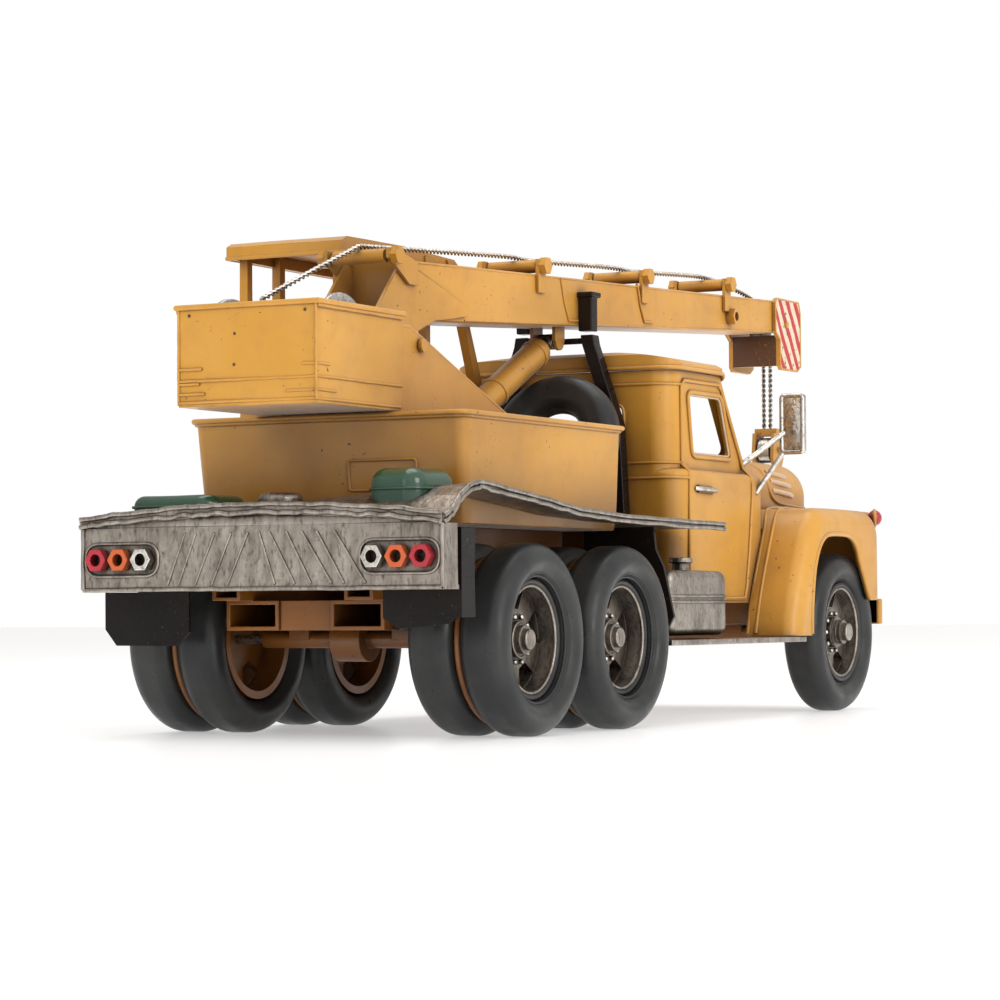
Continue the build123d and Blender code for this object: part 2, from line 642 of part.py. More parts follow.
MIRROR_X = 238.0
with BuildPart() as mirror_left:
    block(MIRROR_X, MIRROR_X + 2.4, 57.4, 67.4, 103.4, 127)
    fillet(mirror_left.edges().filter_by(Axis.X), 1.2)
    add(strut((REAR_AXLE_X + MIRROR_X + 0.8, 59, 112), (REAR_AXLE_X + 224.6, 44.9, 98.0), 1.1))
    add(strut((REAR_AXLE_X + MIRROR_X + 0.8, 59, 105), (REAR_AXLE_X + 230.5, 49.6, 87.5), 1.0))
    block(220, CAB_FRONT + 1, 0, CAB_LOW_HALF, 80, 94, mode=Mode.SUBTRACT)
    block(200, CAB_FRONT + 1, 0, CAB_HALF, 80, 120, mode=Mode.SUBTRACT)
save(mirrored(mirror_left), "mirrors")

with BuildPart() as lamp:
    with BuildSketch(across(299)):
        with Locations((65.0, 78.0)):
            Circle(3.8)
    extrude(amount=13.5)
    fillet(lamp.faces().sort_by(Axis.X)[-1].edges(), 2.2)
    add(extrude(fender_profile(-0.01).moved(Location((0, FENDER_HALF + 6, 0))),
                amount=20, mode=Mode.PRIVATE), mode=Mode.SUBTRACT)
save(mirrored(lamp), "fender_lamps")

# ---------------------------------------------------------------- superstructure
with BuildPart() as table:
    with BuildSketch(plan(TABLE_LOW)):
        with Locations((SLEW_X, 0)):
            Circle(TABLE_R)
            Circle(SLEW_PIN_R + 0.06, mode=Mode.SUBTRACT)
    extrude(amount=TABLE_TOP - TABLE_LOW)
    for y in (-7.6, 5.6):
        with BuildSketch(side(y + 2)):
            with Locations((LIFT_A[0], TABLE_TOP + 4)):
                SlotOverall(14, 8, rotation=90)
                Rectangle(10, 8)
        extrude(amount=2)
save(table, "turntable")

with BuildPart() as frame:
    with BuildSketch(plan(FLOOR_LOW)):
        with Locations(((BOX_FRONT + 46) / 2, 0)):
            Rectangle(46 - BOX_FRONT, 2 * CHEEK_OUT)
    extrude(amount=FLOOR_T)
    with BuildSketch(plan(TABLE_TOP)):
        with Locations((18, 0)):
            Rectangle(16, 40)
        with Locations((SLEW_X, -17), (SLEW_X, 17)):
            Rectangle(40, 6)
    extrude(amount=FLOOR_LOW - TABLE_TOP)
    block(35, 70, -CHEEK_OUT, -CHEEK_IN + 8, FLOOR_LOW, FLOOR_LOW + FLOOR_T)
    block(35, 70, CHEEK_IN - 8, CHEEK_OUT, FLOOR_LOW, FLOOR_LOW + FLOOR_T)
    cheek = ((BOX_FRONT, FLOOR_LOW), (BOX_FRONT, 136.6), (-6.6, 136.6), (44.6, 117.4),
             (70, FLOOR_LOW))
    for y in (CHEEK_OUT, -CHEEK_IN):
        add(extrude(outline(side(y), cheek), amount=CHEEK_OUT - CHEEK_IN, mode=Mode.PRIVATE))
    rod_across(PIVOT_X, PIVOT_Z, PIN_R + 0.06, -30, 30, mode=Mode.SUBTRACT)
save(frame, "slew_frame")

with BuildPart() as box:
    block(BOX_REAR, BOX_FRONT, -BOX_HALF, BOX_HALF, FLOOR_LOW, BOX_TOP)
    block(BOX_REAR + BOX_WALL, BOX_FRONT - BOX_WALL, -BOX_HALF + BOX_WALL, BOX_HALF - BOX_WALL,
          FLOOR_LOW + BOX_WALL, BOX_TOP + 1, mode=Mode.SUBTRACT)
    with BuildSketch(plan(BOX_TOP - 2.4)):
        with Locations(((BOX_REAR + BOX_FRONT) / 2, 0)):
            Rectangle(BOX_FRONT - BOX_REAR, 2 * BOX_HALF + 1.6)
            Rectangle(BOX_FRONT - BOX_REAR - 3.6, 2 * BOX_HALF - 3.6, mode=Mode.SUBTRACT)
    extrude(amount=2.4)
    for y_low, y_high in ((-24.9, -22.4), (22.4, 24.9)):
        block(DRUM_X - 4, DRUM_X + 4, y_low, y_high, FLOOR_LOW + BOX_WALL, DRUM_Z + 4)
    rod_across(DRUM_X, DRUM_Z, DRUM_SHAFT_R + 0.06, -24.9, 24.9, mode=Mode.SUBTRACT)
save(box, "counterweight_box")

with BuildPart() as drum:
    rod_across(DRUM_X, DRUM_Z, DRUM_SHAFT_R, -24.4, 24.4)
    rod_across(DRUM_X, DRUM_Z, 7, -20, 20)
    for y in (-21.6, 20):
        rod_across(DRUM_X, DRUM_Z, DRUM_FLANGE_R, y, y + 1.6)
save(drum, "winch_drum")

with BuildPart() as wound:
    rod_across(DRUM_X, DRUM_Z, WOUND_R, -19.9, 19.9)
    rod_across(DRUM_X, DRUM_Z, 7.02, -20, 20, mode=Mode.SUBTRACT)
save(wound, "drum_cable")

with BuildPart() as operator_cab:
    block(22, 96, 26.4, 60, FLOOR_LOW, FLOOR_LOW + FLOOR_T)
    block(70.4, 96, 13.0, 26.8, FLOOR_LOW, FLOOR_LOW + 2 * FLOOR_T + 0.4)
    block(22, 23.4, 26.4, 60, FLOOR_LOW, 126)
    block(22, 96, 58.6, 60, FLOOR_LOW, 126)
    for x, y in ((22.0, 56.6), (44.0, 56.6), (74.0, 13.0)):
        block(x, x + 3.4, y, y + 3.4, FLOOR_LOW, 168)
    block(16.0, 19.4, 14.4, 17.8, FLOOR_LOW + FLOOR_T, 168)
    slant = ((94.6, 168), (98.6, 168), (124, 112), (124, 109.8), (119.4, 109.8))
    for y in (16.4, 60):
        add(extrude(outline(side(y), slant), amount=3.4, mode=Mode.PRIVATE))
    block(94, 124, 13.0, 60, FLOOR_LOW, FLOOR_LOW + FLOOR_T)
    with BuildSketch(side(61.5)):
        with BuildLine():
            Polyline((15.6, 166.4), (15.6, 171.0), (19, 172.6), (60, 173.0), (97, 171.6),
                     (101, 169.0), (101, 166.4), close=True)
        make_face()
    extrude(amount=61.5 - 13.6)
    block(18, 98.5, 14.4, 59, 160, 170.6, mode=Mode.SUBTRACT)
    for x, y in ((22.0, 56.6), (44.0, 56.6), (74.0, 13.0), (16.0, 14.4)):
        block(x, x + 3.4, y, y + 3.4, 160, 171)
    for y in (16.4, 60):
        add(extrude(outline(side(y), ((90.2, 171), (94.6, 171), (98.6, 162), (97.3, 162))),
                    amount=3.4, mode=Mode.PRIVATE))
save(operator_cab, "operator_cab")


# ---------------------------------------------------------------- boom
def boom_edge(x, rear, front):
    """Height of a straight boom edge at x."""
    return rear + (front - rear) * (x - BOOM_REAR) / (BOOM_FRONT - BOOM_REAR)


LOW_AT_REAR = BOOM_LOW_REAR - 1.0
FOOT = ((BOOM_REAR - 4, BOOM_TOP_REAR - 0.6), (-6, 142), (-6.4, 131), (-2, 125.4), (4, 126),
        (14, 134.6), (36.7, BOOM_LOW_REAR + 0.4), (60, 146.4), (60, 150), (22, 160.6))
BEAM = ((BOOM_REAR, LOW_AT_REAR), (BOOM_FRONT, BOOM_LOW_FRONT), (BOOM_FRONT, BOOM_TOP_FRONT),
        (BOOM_REAR, BOOM_TOP_REAR))
with BuildPart() as boom:
    add(extrude(outline(side(BOOM_HALF), BEAM), amount=2 * BOOM_HALF, mode=Mode.PRIVATE))
    fillet(boom.edges().filter_by(lambda e: e.length > 200), 1.2)
    hollow = ((BOOM_REAR + 1.2, LOW_AT_REAR + 1.3), (BOOM_FRONT + 1, BOOM_LOW_FRONT + 1.3),
              (BOOM_FRONT + 1, BOOM_TOP_FRONT - 1.2), (BOOM_REAR + 1.2, BOOM_TOP_REAR - 1.2))
    add(extrude(outline(side(BOOM_HALF - BOOM_WALL), hollow), amount=2 * (BOOM_HALF - BOOM_WALL),
                mode=Mode.PRIVATE), mode=Mode.SUBTRACT)
    for y in (BOOM_HALF + 1.2, -BOOM_HALF + 0.01):
        add(extrude(outline(side(y), FOOT), amount=1.21, mode=Mode.PRIVATE))
    rod_across(PIVOT_X, PIVOT_Z, 3.2, -12.6, 12.6)
    rod_across(PIVOT_X, PIVOT_Z, PIN_R, -27.6, 27.6)
    rod_across(PIVOT_X, PIVOT_Z, 2.3, 26.4, 27.8)
    rod_across(PIVOT_X, PIVOT_Z, 2.3, -27.8, -26.4)
    block(332, BOOM_FRONT + 1, -1.9, 1.9, 172, 178, mode=Mode.SUBTRACT)
save(boom, "boom_beam")

with BuildPart() as head:
    flange = ((341.5, 175.2), (343, 177), (368, 177), (370, 172.6), (370, 148.4), (366, 146),
              (348, 146), (346.4, 147.6), (346.4, 159), (341.5, 162.2))
    for y in (BOOM_HALF + 1.4, -BOOM_HALF):
        add(extrude(outline(side(y), flange), amount=1.4, mode=Mode.PRIVATE))
    back = ((346.4, 147.6), (347.8, 147.6), (347.8, 160.8), (346.4, 160.8))
    add(extrude(outline(side(BOOM_HALF), back), amount=2 * BOOM_HALF, mode=Mode.PRIVATE))
    rod_across(*HEAD_SHEAVE, 1.5, -BOOM_HALF - 2.6, BOOM_HALF + 2.6)
    block(367.4, 368.8, -BOOM_HALF, BOOM_HALF, 170, 176.2)
    rod_across(FALL_X, HOOK_PIVOT_Z + 0.2, 0.7, -BOOM_HALF, BOOM_HALF)
save(head, "boom_head")

with BuildPart() as ears:
    block(REST_X - 2.8, REST_X + 2.8, BOOM_HALF, 16.2, REST_TOP + 1.4, 161)
    block(REST_X - 4.0, REST_X + 4.0, BOOM_HALF, 17.2, 161, 163)
save(mirrored(ears), "boom_ears")

with BuildPart() as brackets:
    for x, z in ROLLERS:
        low = min(z - 9, boom_edge(max(x, 20), BOOM_TOP_REAR, BOOM_TOP_FRONT) - 7)
        strap_x = x if x > BOOM_REAR else BOOM_REAR + 2
        strap = ((x - 3, z - 1), (x - 3, z + 2.4), (x + 3, z + 2.4), (strap_x + 3, z - 1),
                 (strap_x + 3, low), (strap_x - 3, low))
        inside = BOOM_HALF if x > BOOM_REAR else BOOM_HALF + 1.25
        for y in (inside + 1.35, -inside):
            add(extrude(outline(side(y), strap), amount=1.35, mode=Mode.PRIVATE))
        rod_across(x, z, ROLLER_BOLT_R, -inside - 1.6, inside + 1.6)
        for y in (inside + 3.95, -inside - 1.35):
            with BuildSketch(side(y)):
                with Locations((x, z)):
                    RegularPolygon(3.4, 6)
            extrude(amount=2.6)
    with BuildSketch(side(-BOOM_HALF)):
        with Locations((295, 165.0)):
            RegularPolygon(3.8, 6)
            Circle(1.9, mode=Mode.SUBTRACT)
    extrude(amount=3.6)
    for y in (-5.4, 4.0):
        with BuildSketch(side(y + 1.4)):
            with Locations(LIFT_B):
                Circle(3.4)
            with Locations((LIFT_B[0], LIFT_B[1] + 4)):
                Rectangle(8, 8)
        extrude(amount=1.4)
    rod_across(*LIFT_B, 1.3, -5.4, 5.4)
    add(extrude(outline(side(BOOM_HALF), BEAM), amount=2 * BOOM_HALF, mode=Mode.PRIVATE),
        mode=Mode.SUBTRACT)
save(brackets, "roller_brackets")

for number, (x, z) in enumerate(ROLLERS, start=1):
    with BuildPart() as roller:
        rod_across(x, z, ROLLER_R, -BOOM_HALF + 0.3, BOOM_HALF - 0.3)
        rod_across(x, z, ROLLER_BOLT_R + 0.08, -20, 20, mode=Mode.SUBTRACT)
    save(roller, f"cable_roller_{number}")

with BuildPart() as sheave:
    with BuildSketch(side(1.8)):
        with Locations(HEAD_SHEAVE):
            Circle(SHEAVE_GROOVE_R)
    extrude(amount=3.6)
    for y in (3.0, -1.8):
        with BuildSketch(side(y)):
            with Locations(HEAD_SHEAVE):
                Circle(6.6)
        extrude(amount=1.2)
    rod_across(*HEAD_SHEAVE, 1.56, -10, 10, mode=Mode.SUBTRACT)
save(sheave, "head_sheave")


# ---------------------------------------------------------------- lift cylinder
LIFT_LENGTH = hypot(LIFT_B[0] - LIFT_A[0], LIFT_B[1] - LIFT_A[1])
LIFT_TILT = degrees(atan2(LIFT_B[1] - LIFT_A[1], LIFT_B[0] - LIFT_A[0]))


def on_lift(distance):
    """Plane across the lift cylinder at a distance up from its lower end."""
    reach = (cos(radians(LIFT_TILT)), 0, sin(radians(LIFT_TILT)))
    origin = (REAR_AXLE_X + LIFT_A[0] + distance * reach[0], 0, LIFT_A[1] + distance * reach[2])
    return Plane(origin=origin, x_dir=(0, 1, 0), z_dir=reach)


with BuildPart() as barrel:
    with BuildSketch(on_lift(2.2)):
        Circle(LIFT_BARREL_R)
    extrude(amount=LIFT_BARREL_LENGTH - 2.2)
    for distance in (44, 80):
        with BuildSketch(on_lift(distance)):
            Circle(LIFT_BARREL_R + 0.5)
        extrude(amount=2.2)
    fillet(barrel.edges().group_by(Axis.X)[-1], 1.4)
    with BuildSketch(on_lift(8)):
        Circle(LIFT_ROD_R + 1.0)
    extrude(amount=LIFT_BARREL_LENGTH - 12, mode=Mode.SUBTRACT)
    with BuildSketch(on_lift(8)):
        Circle(LIFT_ROD_R + 0.06)
    extrude(amount=LIFT_BARREL_LENGTH, mode=Mode.SUBTRACT)
    rod_across(*LIFT_A, 3.4, -3.4, 3.4)
save(barrel, "lift_barrel")

with BuildPart() as lift_rod:
    with BuildSketch(on_lift(10)):
        Circle(LIFT_ROD_R + 0.9)
    extrude(amount=4)
    with BuildSketch(on_lift(12)):
        Circle(LIFT_ROD_R)
    extrude(amount=LIFT_LENGTH - 13)
    rod_across(*LIFT_B, 3.0, -3.4, 3.4)
    rod_across(*LIFT_B, 1.36, -4, 4, mode=Mode.SUBTRACT)
save(lift_rod, "lift_rod")


# ---------------------------------------------------------------- hoist cable and hook
def cable(points, radii):
    """A round cable along straight runs joined by tangent arcs."""
    places = [(REAR_AXLE_X + x, y, z) for x, y, z in points]
    with BuildPart() as rope:
        with BuildLine() as route:
            if radii:
                FilletPolyline(*places, radius=radii)
            else:
                Line(*places)
        path = route.wires()[0]
        with BuildSketch(Plane(origin=places[0], z_dir=path % 0)):
            Circle(CABLE_R)
        sweep(path=path)
    print("cable length", round(path.length, 1), "volume", round(rope.part.volume, 1))
    return rope


RUN = [(3.9, 0, 166.4)] + [(x, 0, z + CABLE_OVER_ROLLER) for x, z in ROLLERS[1:]]
RUN += [(338.0, 0, 178.3), (FALL_X, 0, 170.9), (FALL_X, 0, HOOK_PIVOT_Z + 1)]
save(cable(RUN, [60, 60, 60, 40, 6.5]), "cable_run")
save(cable([(-50.6, 5, 144.0), (3.0, 0, 166.5)], None), "cable_span")

with BuildPart() as falls:
    for y in (-1.3, 1.3):
        with BuildSketch(plan(121)):
            with Locations((FALL_X, y)):
                Circle(CABLE_R)
    extrude(amount=HOOK_PIVOT_Z - 0.6 - 121)
save(falls, "hoist_falls")

with BuildPart() as hook_block:
    for y in (-5.2, 3.6):
        with BuildSketch(side(y + 1.6)):
            with BuildLine():
                Polyline((355.4, 119), (364.6, 119), (366, 108), (362.4, 101.4), (357.6, 101.4),
                         (354, 108), close=True)
            make_face()
        extrude(amount=1.6)
    block(357.8, 362.2, -5.2, 5.2, 117.6, 121)
    block(357.6, 362.4, -5.2, 5.2, 101.4, 103.4)
    rod_across(FALL_X, 111.4, 1.4, -6.4, 6.4)
save(hook_block, "hook_block")

with BuildPart() as hook_sheave:
    rod_across(FALL_X, 111.4, 5.6, -2.6, 2.6)
    rod_across(FALL_X, 111.4, 1.46, -3, 3, mode=Mode.SUBTRACT)
save(hook_sheave, "hook_sheave")

with BuildPart() as hook:
    with BuildLine(side(0)) as bend:
        FilletPolyline((FALL_X, 101.4), (FALL_X, 96), (356.2, 92), (357.4, 87.6), (362.6, 87.6),
                       (364.2, 92.2), radius=2.0)
    bend_path = bend.wires()[0]
    with BuildSketch(Plane(origin=bend_path @ 0, z_dir=bend_path % 0)):
        Circle(1.3)
    sweep(path=bend_path)
save(hook, "hook")
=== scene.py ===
"""Looks of the toy crane truck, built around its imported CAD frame.

Places are written as distances ahead of the rear axle, to the truck's left and above the ground, in
millimetres, and at() turns them into the row's frame in metres. Every piece rides a CAD body.
"""

import json
import math
import random

import bmesh
import bpy
from mathutils import Matrix, Vector, noise


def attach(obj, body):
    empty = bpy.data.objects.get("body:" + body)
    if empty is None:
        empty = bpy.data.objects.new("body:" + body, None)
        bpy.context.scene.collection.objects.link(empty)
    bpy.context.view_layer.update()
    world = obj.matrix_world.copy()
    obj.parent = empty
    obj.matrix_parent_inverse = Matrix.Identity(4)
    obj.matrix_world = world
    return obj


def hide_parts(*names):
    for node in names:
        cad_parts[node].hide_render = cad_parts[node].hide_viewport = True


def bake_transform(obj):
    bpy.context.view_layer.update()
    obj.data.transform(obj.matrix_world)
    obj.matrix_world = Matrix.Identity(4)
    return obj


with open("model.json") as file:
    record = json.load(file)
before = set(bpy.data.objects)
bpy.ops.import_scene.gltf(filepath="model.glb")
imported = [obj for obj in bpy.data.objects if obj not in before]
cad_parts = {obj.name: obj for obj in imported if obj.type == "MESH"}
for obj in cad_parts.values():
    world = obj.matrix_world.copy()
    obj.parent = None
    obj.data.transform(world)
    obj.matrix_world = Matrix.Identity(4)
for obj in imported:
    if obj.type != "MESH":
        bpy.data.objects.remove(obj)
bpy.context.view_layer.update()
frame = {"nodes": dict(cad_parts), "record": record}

MM = 0.001
REAR_AXLE_X = -151.0
BODY_OF = {node: body for body, nodes in frame["record"]["behaviour"]["bodies"].items() for node in nodes}


def at(x, y, z):
    """A point ahead of the rear axle, left of the middle and above the ground, in the row's metres."""
    return Vector(((REAR_AXLE_X + x) * MM, y * MM, z * MM))


# ---------------------------------------------------------------- camera, lights and floor
CAMERA_PLACE = (-1.0775, -0.5448, 0.0420)
CAMERA_YAW = math.radians(27.81)
CAMERA_PITCH = math.radians(1.986)
CAMERA_ROLL = math.radians(-0.337)
CAMERA_LENS = 113.54


def make_camera():
    """The camera at the photograph's viewing angle."""
    forward = Vector((math.cos(CAMERA_PITCH) * math.cos(CAMERA_YAW),
                      math.cos(CAMERA_PITCH) * math.sin(CAMERA_YAW), math.sin(CAMERA_PITCH)))
    level = Vector((math.sin(CAMERA_YAW), -math.cos(CAMERA_YAW), 0))
    upright = level.cross(forward)
    right = math.cos(CAMERA_ROLL) * level + math.sin(CAMERA_ROLL) * upright
    up = math.cos(CAMERA_ROLL) * upright - math.sin(CAMERA_ROLL) * level
    camera = bpy.data.objects.new("camera", bpy.data.cameras.new("camera"))
    turn = Matrix((right, up, -forward)).transposed().to_4x4()
    camera.matrix_world = Matrix.Translation(CAMERA_PLACE) @ turn
    camera.data.lens = CAMERA_LENS
    camera.data.sensor_width = 36
    camera.data.clip_start = 0.01
    bpy.context.collection.objects.link(camera)
    bpy.context.scene.camera = camera


def area_light(name, place, target, size, power, colour=(1, 1, 1)):
    """A soft square light that faces a point."""
    light = bpy.data.objects.new(name, bpy.data.lights.new(name, "AREA"))
    light.data.shape = "RECTANGLE"
    light.data.size = size[0]
    light.data.size_y = size[1]
    light.data.energy = power
    light.data.color = colour
    light.location = place
    light.rotation_euler = (Vector(target) - Vector(place)).to_track_quat("-Z", "Y").to_euler()
    bpy.context.collection.objects.link(light)


LIGHT_FROM = (-0.36, -0.80, 0.48)


def make_world():
    """A white studio: brighter towards the right rear and above, plain white to the eye."""
    world = bpy.data.worlds.new("studio")
    world.use_nodes = True
    nodes = world.node_tree.nodes
    links = world.node_tree.links
    direction = nodes.new("ShaderNodeTexCoord").outputs["Generated"]
    facing = nodes.new("ShaderNodeVectorMath")
    facing.operation = "DOT_PRODUCT"
    facing.inputs[1].default_value = LIGHT_FROM
    links.new(direction, facing.inputs[0])
    level = nodes.new("ShaderNodeMapRange")
    for socket, value in zip(("From Min", "From Max", "To Min", "To Max"), (-1, 1, 0.20, 1.20)):
        level.inputs[socket].default_value = value
    links.new(facing.outputs["Value"], level.inputs["Value"])
    lit = nodes["Background"]
    links.new(level.outputs["Result"], lit.inputs["Strength"])
    lit.inputs["Color"].default_value = (1, 0.985, 0.965, 1)
    seen = nodes.new("ShaderNodeBackground")
    seen.inputs["Color"].default_value = (1, 1, 1, 1)
    pick = nodes.new("ShaderNodeMixShader")
    links.new(nodes.new("ShaderNodeLightPath").outputs["Is Camera Ray"], pick.inputs["Fac"])
    links.new(lit.outputs["Background"], pick.inputs[1])
    links.new(seen.outputs["Background"], pick.inputs[2])
    links.new(pick.outputs["Shader"], nodes["World Output"].inputs["Surface"])
    bpy.context.scene.world = world


make_camera()
make_world()
area_light("key", (-0.9, -2.0, 0.9), (0, 0, 0.08), (0.9, 1.2), 15)
area_light("rear", (-2.1, 0.5, 0.6), (-0.1, 0, 0.1), (0.6, 0.8), 1.4, (1, 0.96, 0.9))
area_light("top", (0.1, 0.2, 1.7), (0, 0, 0), (1.4, 1.2), 11)
bpy.context.scene.view_settings.view_transform = "Standard"


# ---------------------------------------------------------------- materials
class Look:
    """A procedural material under construction."""

    def __init__(self, name, roughness, metallic=0.0, coat=0.0):
        self.material = bpy.data.materials.new(name)
        self.material.use_nodes = True
        self.nodes = self.material.node_tree.nodes
        self.links = self.material.node_tree.links
        self.shader = self.nodes["Principled BSDF"]
        self.shader.inputs["Metallic"].default_value = metallic
        self.shader.inputs["Coat Weight"].default_value = coat
        self.shader.inputs["Coat Roughness"].default_value = 0.12
        self.shader.inputs["Roughness"].default_value = roughness
        self.place = self.nodes.new("ShaderNodeTexCoord").outputs["Object"]

    def noise(self, scale, detail=3.0, stretch=None):
        """Grey noise in the object's own space; stretch squeezes it along an axis."""
        texture = self.nodes.new("ShaderNodeTexNoise")
        texture.inputs["Scale"].default_value = scale
        texture.inputs["Detail"].default_value = detail
        source = self.place
        if stretch:
            mapping = self.nodes.new("ShaderNodeMapping")
            mapping.inputs["Scale"].default_value = stretch
            self.links.new(source, mapping.inputs["Vector"])
            source = mapping.outputs["Vector"]
        self.links.new(source, texture.inputs["Vector"])
        return texture.outputs["Fac"]

    def remap(self, source, low, high, to_low=0.0, to_high=1.0):
        """source from low..high to to_low..to_high, clamped."""
        node = self.nodes.new("ShaderNodeMapRange")
        for socket, value in zip(("From Min", "From Max", "To Min", "To Max"),
                                 (low, high, to_low, to_high)):
            node.inputs[socket].default_value = value
        self.links.new(source, node.inputs["Value"])
        return node.outputs["Result"]

    def math(self, kind, a, b):
        """One arithmetic step on two sockets or numbers."""
        node = self.nodes.new("ShaderNodeMath")
        node.operation = kind
        for socket, value in zip(node.inputs, (a, b)):
            if isinstance(value, (int, float)):
                socket.default_value = value
            else:
                self.links.new(value, socket)
        return node.outputs["Value"]

    def blend(self, factor, a, b):
        """Colour a where factor is 0 and b where it is 1."""
        node = self.nodes.new("ShaderNodeMix")
        node.data_type = "RGBA"
        self.links.new(factor, node.inputs["Factor"])
        for index, value in ((6, a), (7, b)):
            if isinstance(value, tuple):
                node.inputs[index].default_value = (*value, 1)
            else:
                self.links.new(value, node.inputs[index])
        return node.outputs[2]

    def creases(self, reach):
        """Ambient occlusion as a mask for painted shade: 1 in a crease or under a neighbour, 0 in the open.
        """
        shade = self.nodes.new("ShaderNodeAmbientOcclusion")
        shade.samples = 6
        shade.inputs["Distance"].default_value = reach
        return self.remap(shade.outputs["AO"], 0.82, 0.35)

    def edges(self, radius):
        """1 on a sharp edge, 0 on a flat."""
        bevel = self.nodes.new("ShaderNodeBevel")
        bevel.samples = 4
        bevel.inputs["Radius"].default_value = radius
        geometry = self.nodes.new("ShaderNodeNewGeometry")
        dot = self.nodes.new("ShaderNodeVectorMath")
        dot.operation = "DOT_PRODUCT"
        self.links.new(bevel.outputs["Normal"], dot.inputs[0])
        self.links.new(geometry.outputs["Normal"], dot.inputs[1])
        return self.remap(dot.outputs["Value"], 0.985, 0.85)

    def bump(self, height, distance, strength=1.0):
        """Adds height to the surface, on top of what was added before."""
        node = self.nodes.new("ShaderNodeBump")
        node.inputs["Distance"].default_value = distance
        node.inputs["Strength"].default_value = strength
        self.links.new(height, node.inputs["Height"])
        before = self.shader.inputs["Normal"]
        if before.links:
            self.links.new(before.links[0].from_socket, node.inputs["Normal"])
        self.links.new(node.outputs["Normal"], before)

    def colour(self, source):
        self.links.new(source, self.shader.inputs["Base Color"])

    def rough(self, source):
        self.links.new(source, self.shader.inputs["Roughness"])


def enamel(name, base, light, deep, speck, roughness=(0.3, 0.46), crease=1.0, speck_level=0.70, gloss=0.42,
           haze=0.0):
    """Hand-sprayed enamel on tin: mottled, with painted shade that darkens it to brown in the creases and
    under neighbouring parts, and with chips and dark specks.
    """
    look = Look(name, 0.4, coat=0.1)
    look.shader.inputs["Specular IOR Level"].default_value = gloss
    look.shader.inputs["Sheen Weight"].default_value = haze
    look.shader.inputs["Sheen Roughness"].default_value = 0.35
    tone = look.blend(look.remap(look.noise(24, 4), 0.35, 0.68), base, light)
    tone = look.blend(look.remap(look.noise(11, 3, (1, 1, 2.2)), 0.48, 0.72, 0, 0.30), tone, deep)
    tone = look.blend(look.remap(look.noise(95, 5), 0.50, 0.80, 0, 0.22), tone, deep)
    # Painted shade: ambient occlusion darkens the colour to brown in creases and under neighbouring parts,
    # over 5 cm and over 5 mm.
    wide = look.math("MULTIPLY", look.creases(0.050), look.remap(look.noise(34, 4), 0.2, 0.75, 0.5, 0.9))
    tone = look.blend(look.math("MULTIPLY", wide, crease), tone, deep)
    fine_crease_shade = look.math("MULTIPLY", look.creases(0.005), look.remap(look.noise(90, 4), 0.25, 0.7, 0.45, 1.0))
    tone = look.blend(look.math("MULTIPLY", fine_crease_shade, 0.9 * crease), tone, deep)
    worn = look.math("MULTIPLY", look.edges(0.0007), look.remap(look.noise(130, 5), 0.42, 0.62))
    tone = look.blend(look.math("MULTIPLY", worn, 0.75), tone, deep)
    chips = look.remap(look.noise(620, 2), speck_level, speck_level + 0.035)
    chips = look.math("MULTIPLY", chips, look.remap(look.noise(45, 2), 0.48, 0.6))
    tone = look.blend(chips, tone, speck)
    look.colour(tone)
    look.rough(look.remap(look.noise(60, 4), 0.3, 0.7, *roughness))
    look.bump(look.noise(55, 3), 0.0008, 0.35)
    look.bump(look.noise(420, 3), 0.00012, 0.5)
    return look.material


def bare_metal(name, bright, mid, dark, roughness=(0.28, 0.55), crease=1.0, scratch=(1, 1, 1), grain=0.00025):
    """Antiqued metal: bright where rubbed, dark in the hollows from patina and painted shade, with fine
    scratches.
    """
    look = Look(name, 0.4, metallic=0.92)
    tone = look.blend(look.remap(look.noise(230, 9, scratch), 0.30, 0.70), mid, bright)
    tone = look.blend(look.remap(look.noise(900, 6, scratch), 0.52, 0.74, 0, 0.7), tone, dark)
    tone = look.blend(look.remap(look.noise(30, 6, scratch), 0.50, 0.80, 0, 0.35), tone, dark)
    # Patina and painted shade: ambient occlusion darkens the metal in hollows and under neighbouring parts.
    tone = look.blend(look.math("MULTIPLY", look.creases(0.009), crease), tone, dark)
    tone = look.blend(look.math("MULTIPLY", look.edges(0.0006), 0.7), tone, bright)
    look.colour(tone)
    look.rough(look.remap(look.noise(150, 5), 0.3, 0.7, *roughness))
    look.bump(look.noise(90, 4), 0.0007, 0.5)
    look.bump(look.noise(520, 4), grain, 0.7)
    return look.material


def rubber(name, base, worn):
    """Smooth toy tyre: dark, a little dusty, rubbed lighter on the shoulders, with painted shade in the
    creases.
    """
    look = Look(name, 0.45)
    look.shader.inputs["Specular IOR Level"].default_value = 0.32
    tone = look.blend(look.remap(look.noise(40, 4), 0.35, 0.7), base, worn)
    tone = look.blend(look.remap(look.noise(300, 4), 0.6, 0.75, 0, 0.5), tone, (0.012, 0.012, 0.013))
    # Painted shade: ambient occlusion darkens the rubber in creases and under neighbouring parts.
    tone = look.blend(look.math("MULTIPLY", look.creases(0.008), 0.7), tone, (0.01, 0.009, 0.008))
    look.colour(tone)
    look.rough(look.remap(look.noise(120, 4), 0.3, 0.7, 0.26, 0.46))
    look.bump(look.noise(70, 3), 0.0006, 0.4)
    look.bump(look.noise(700, 3), 0.00006, 0.6)
    return look.material


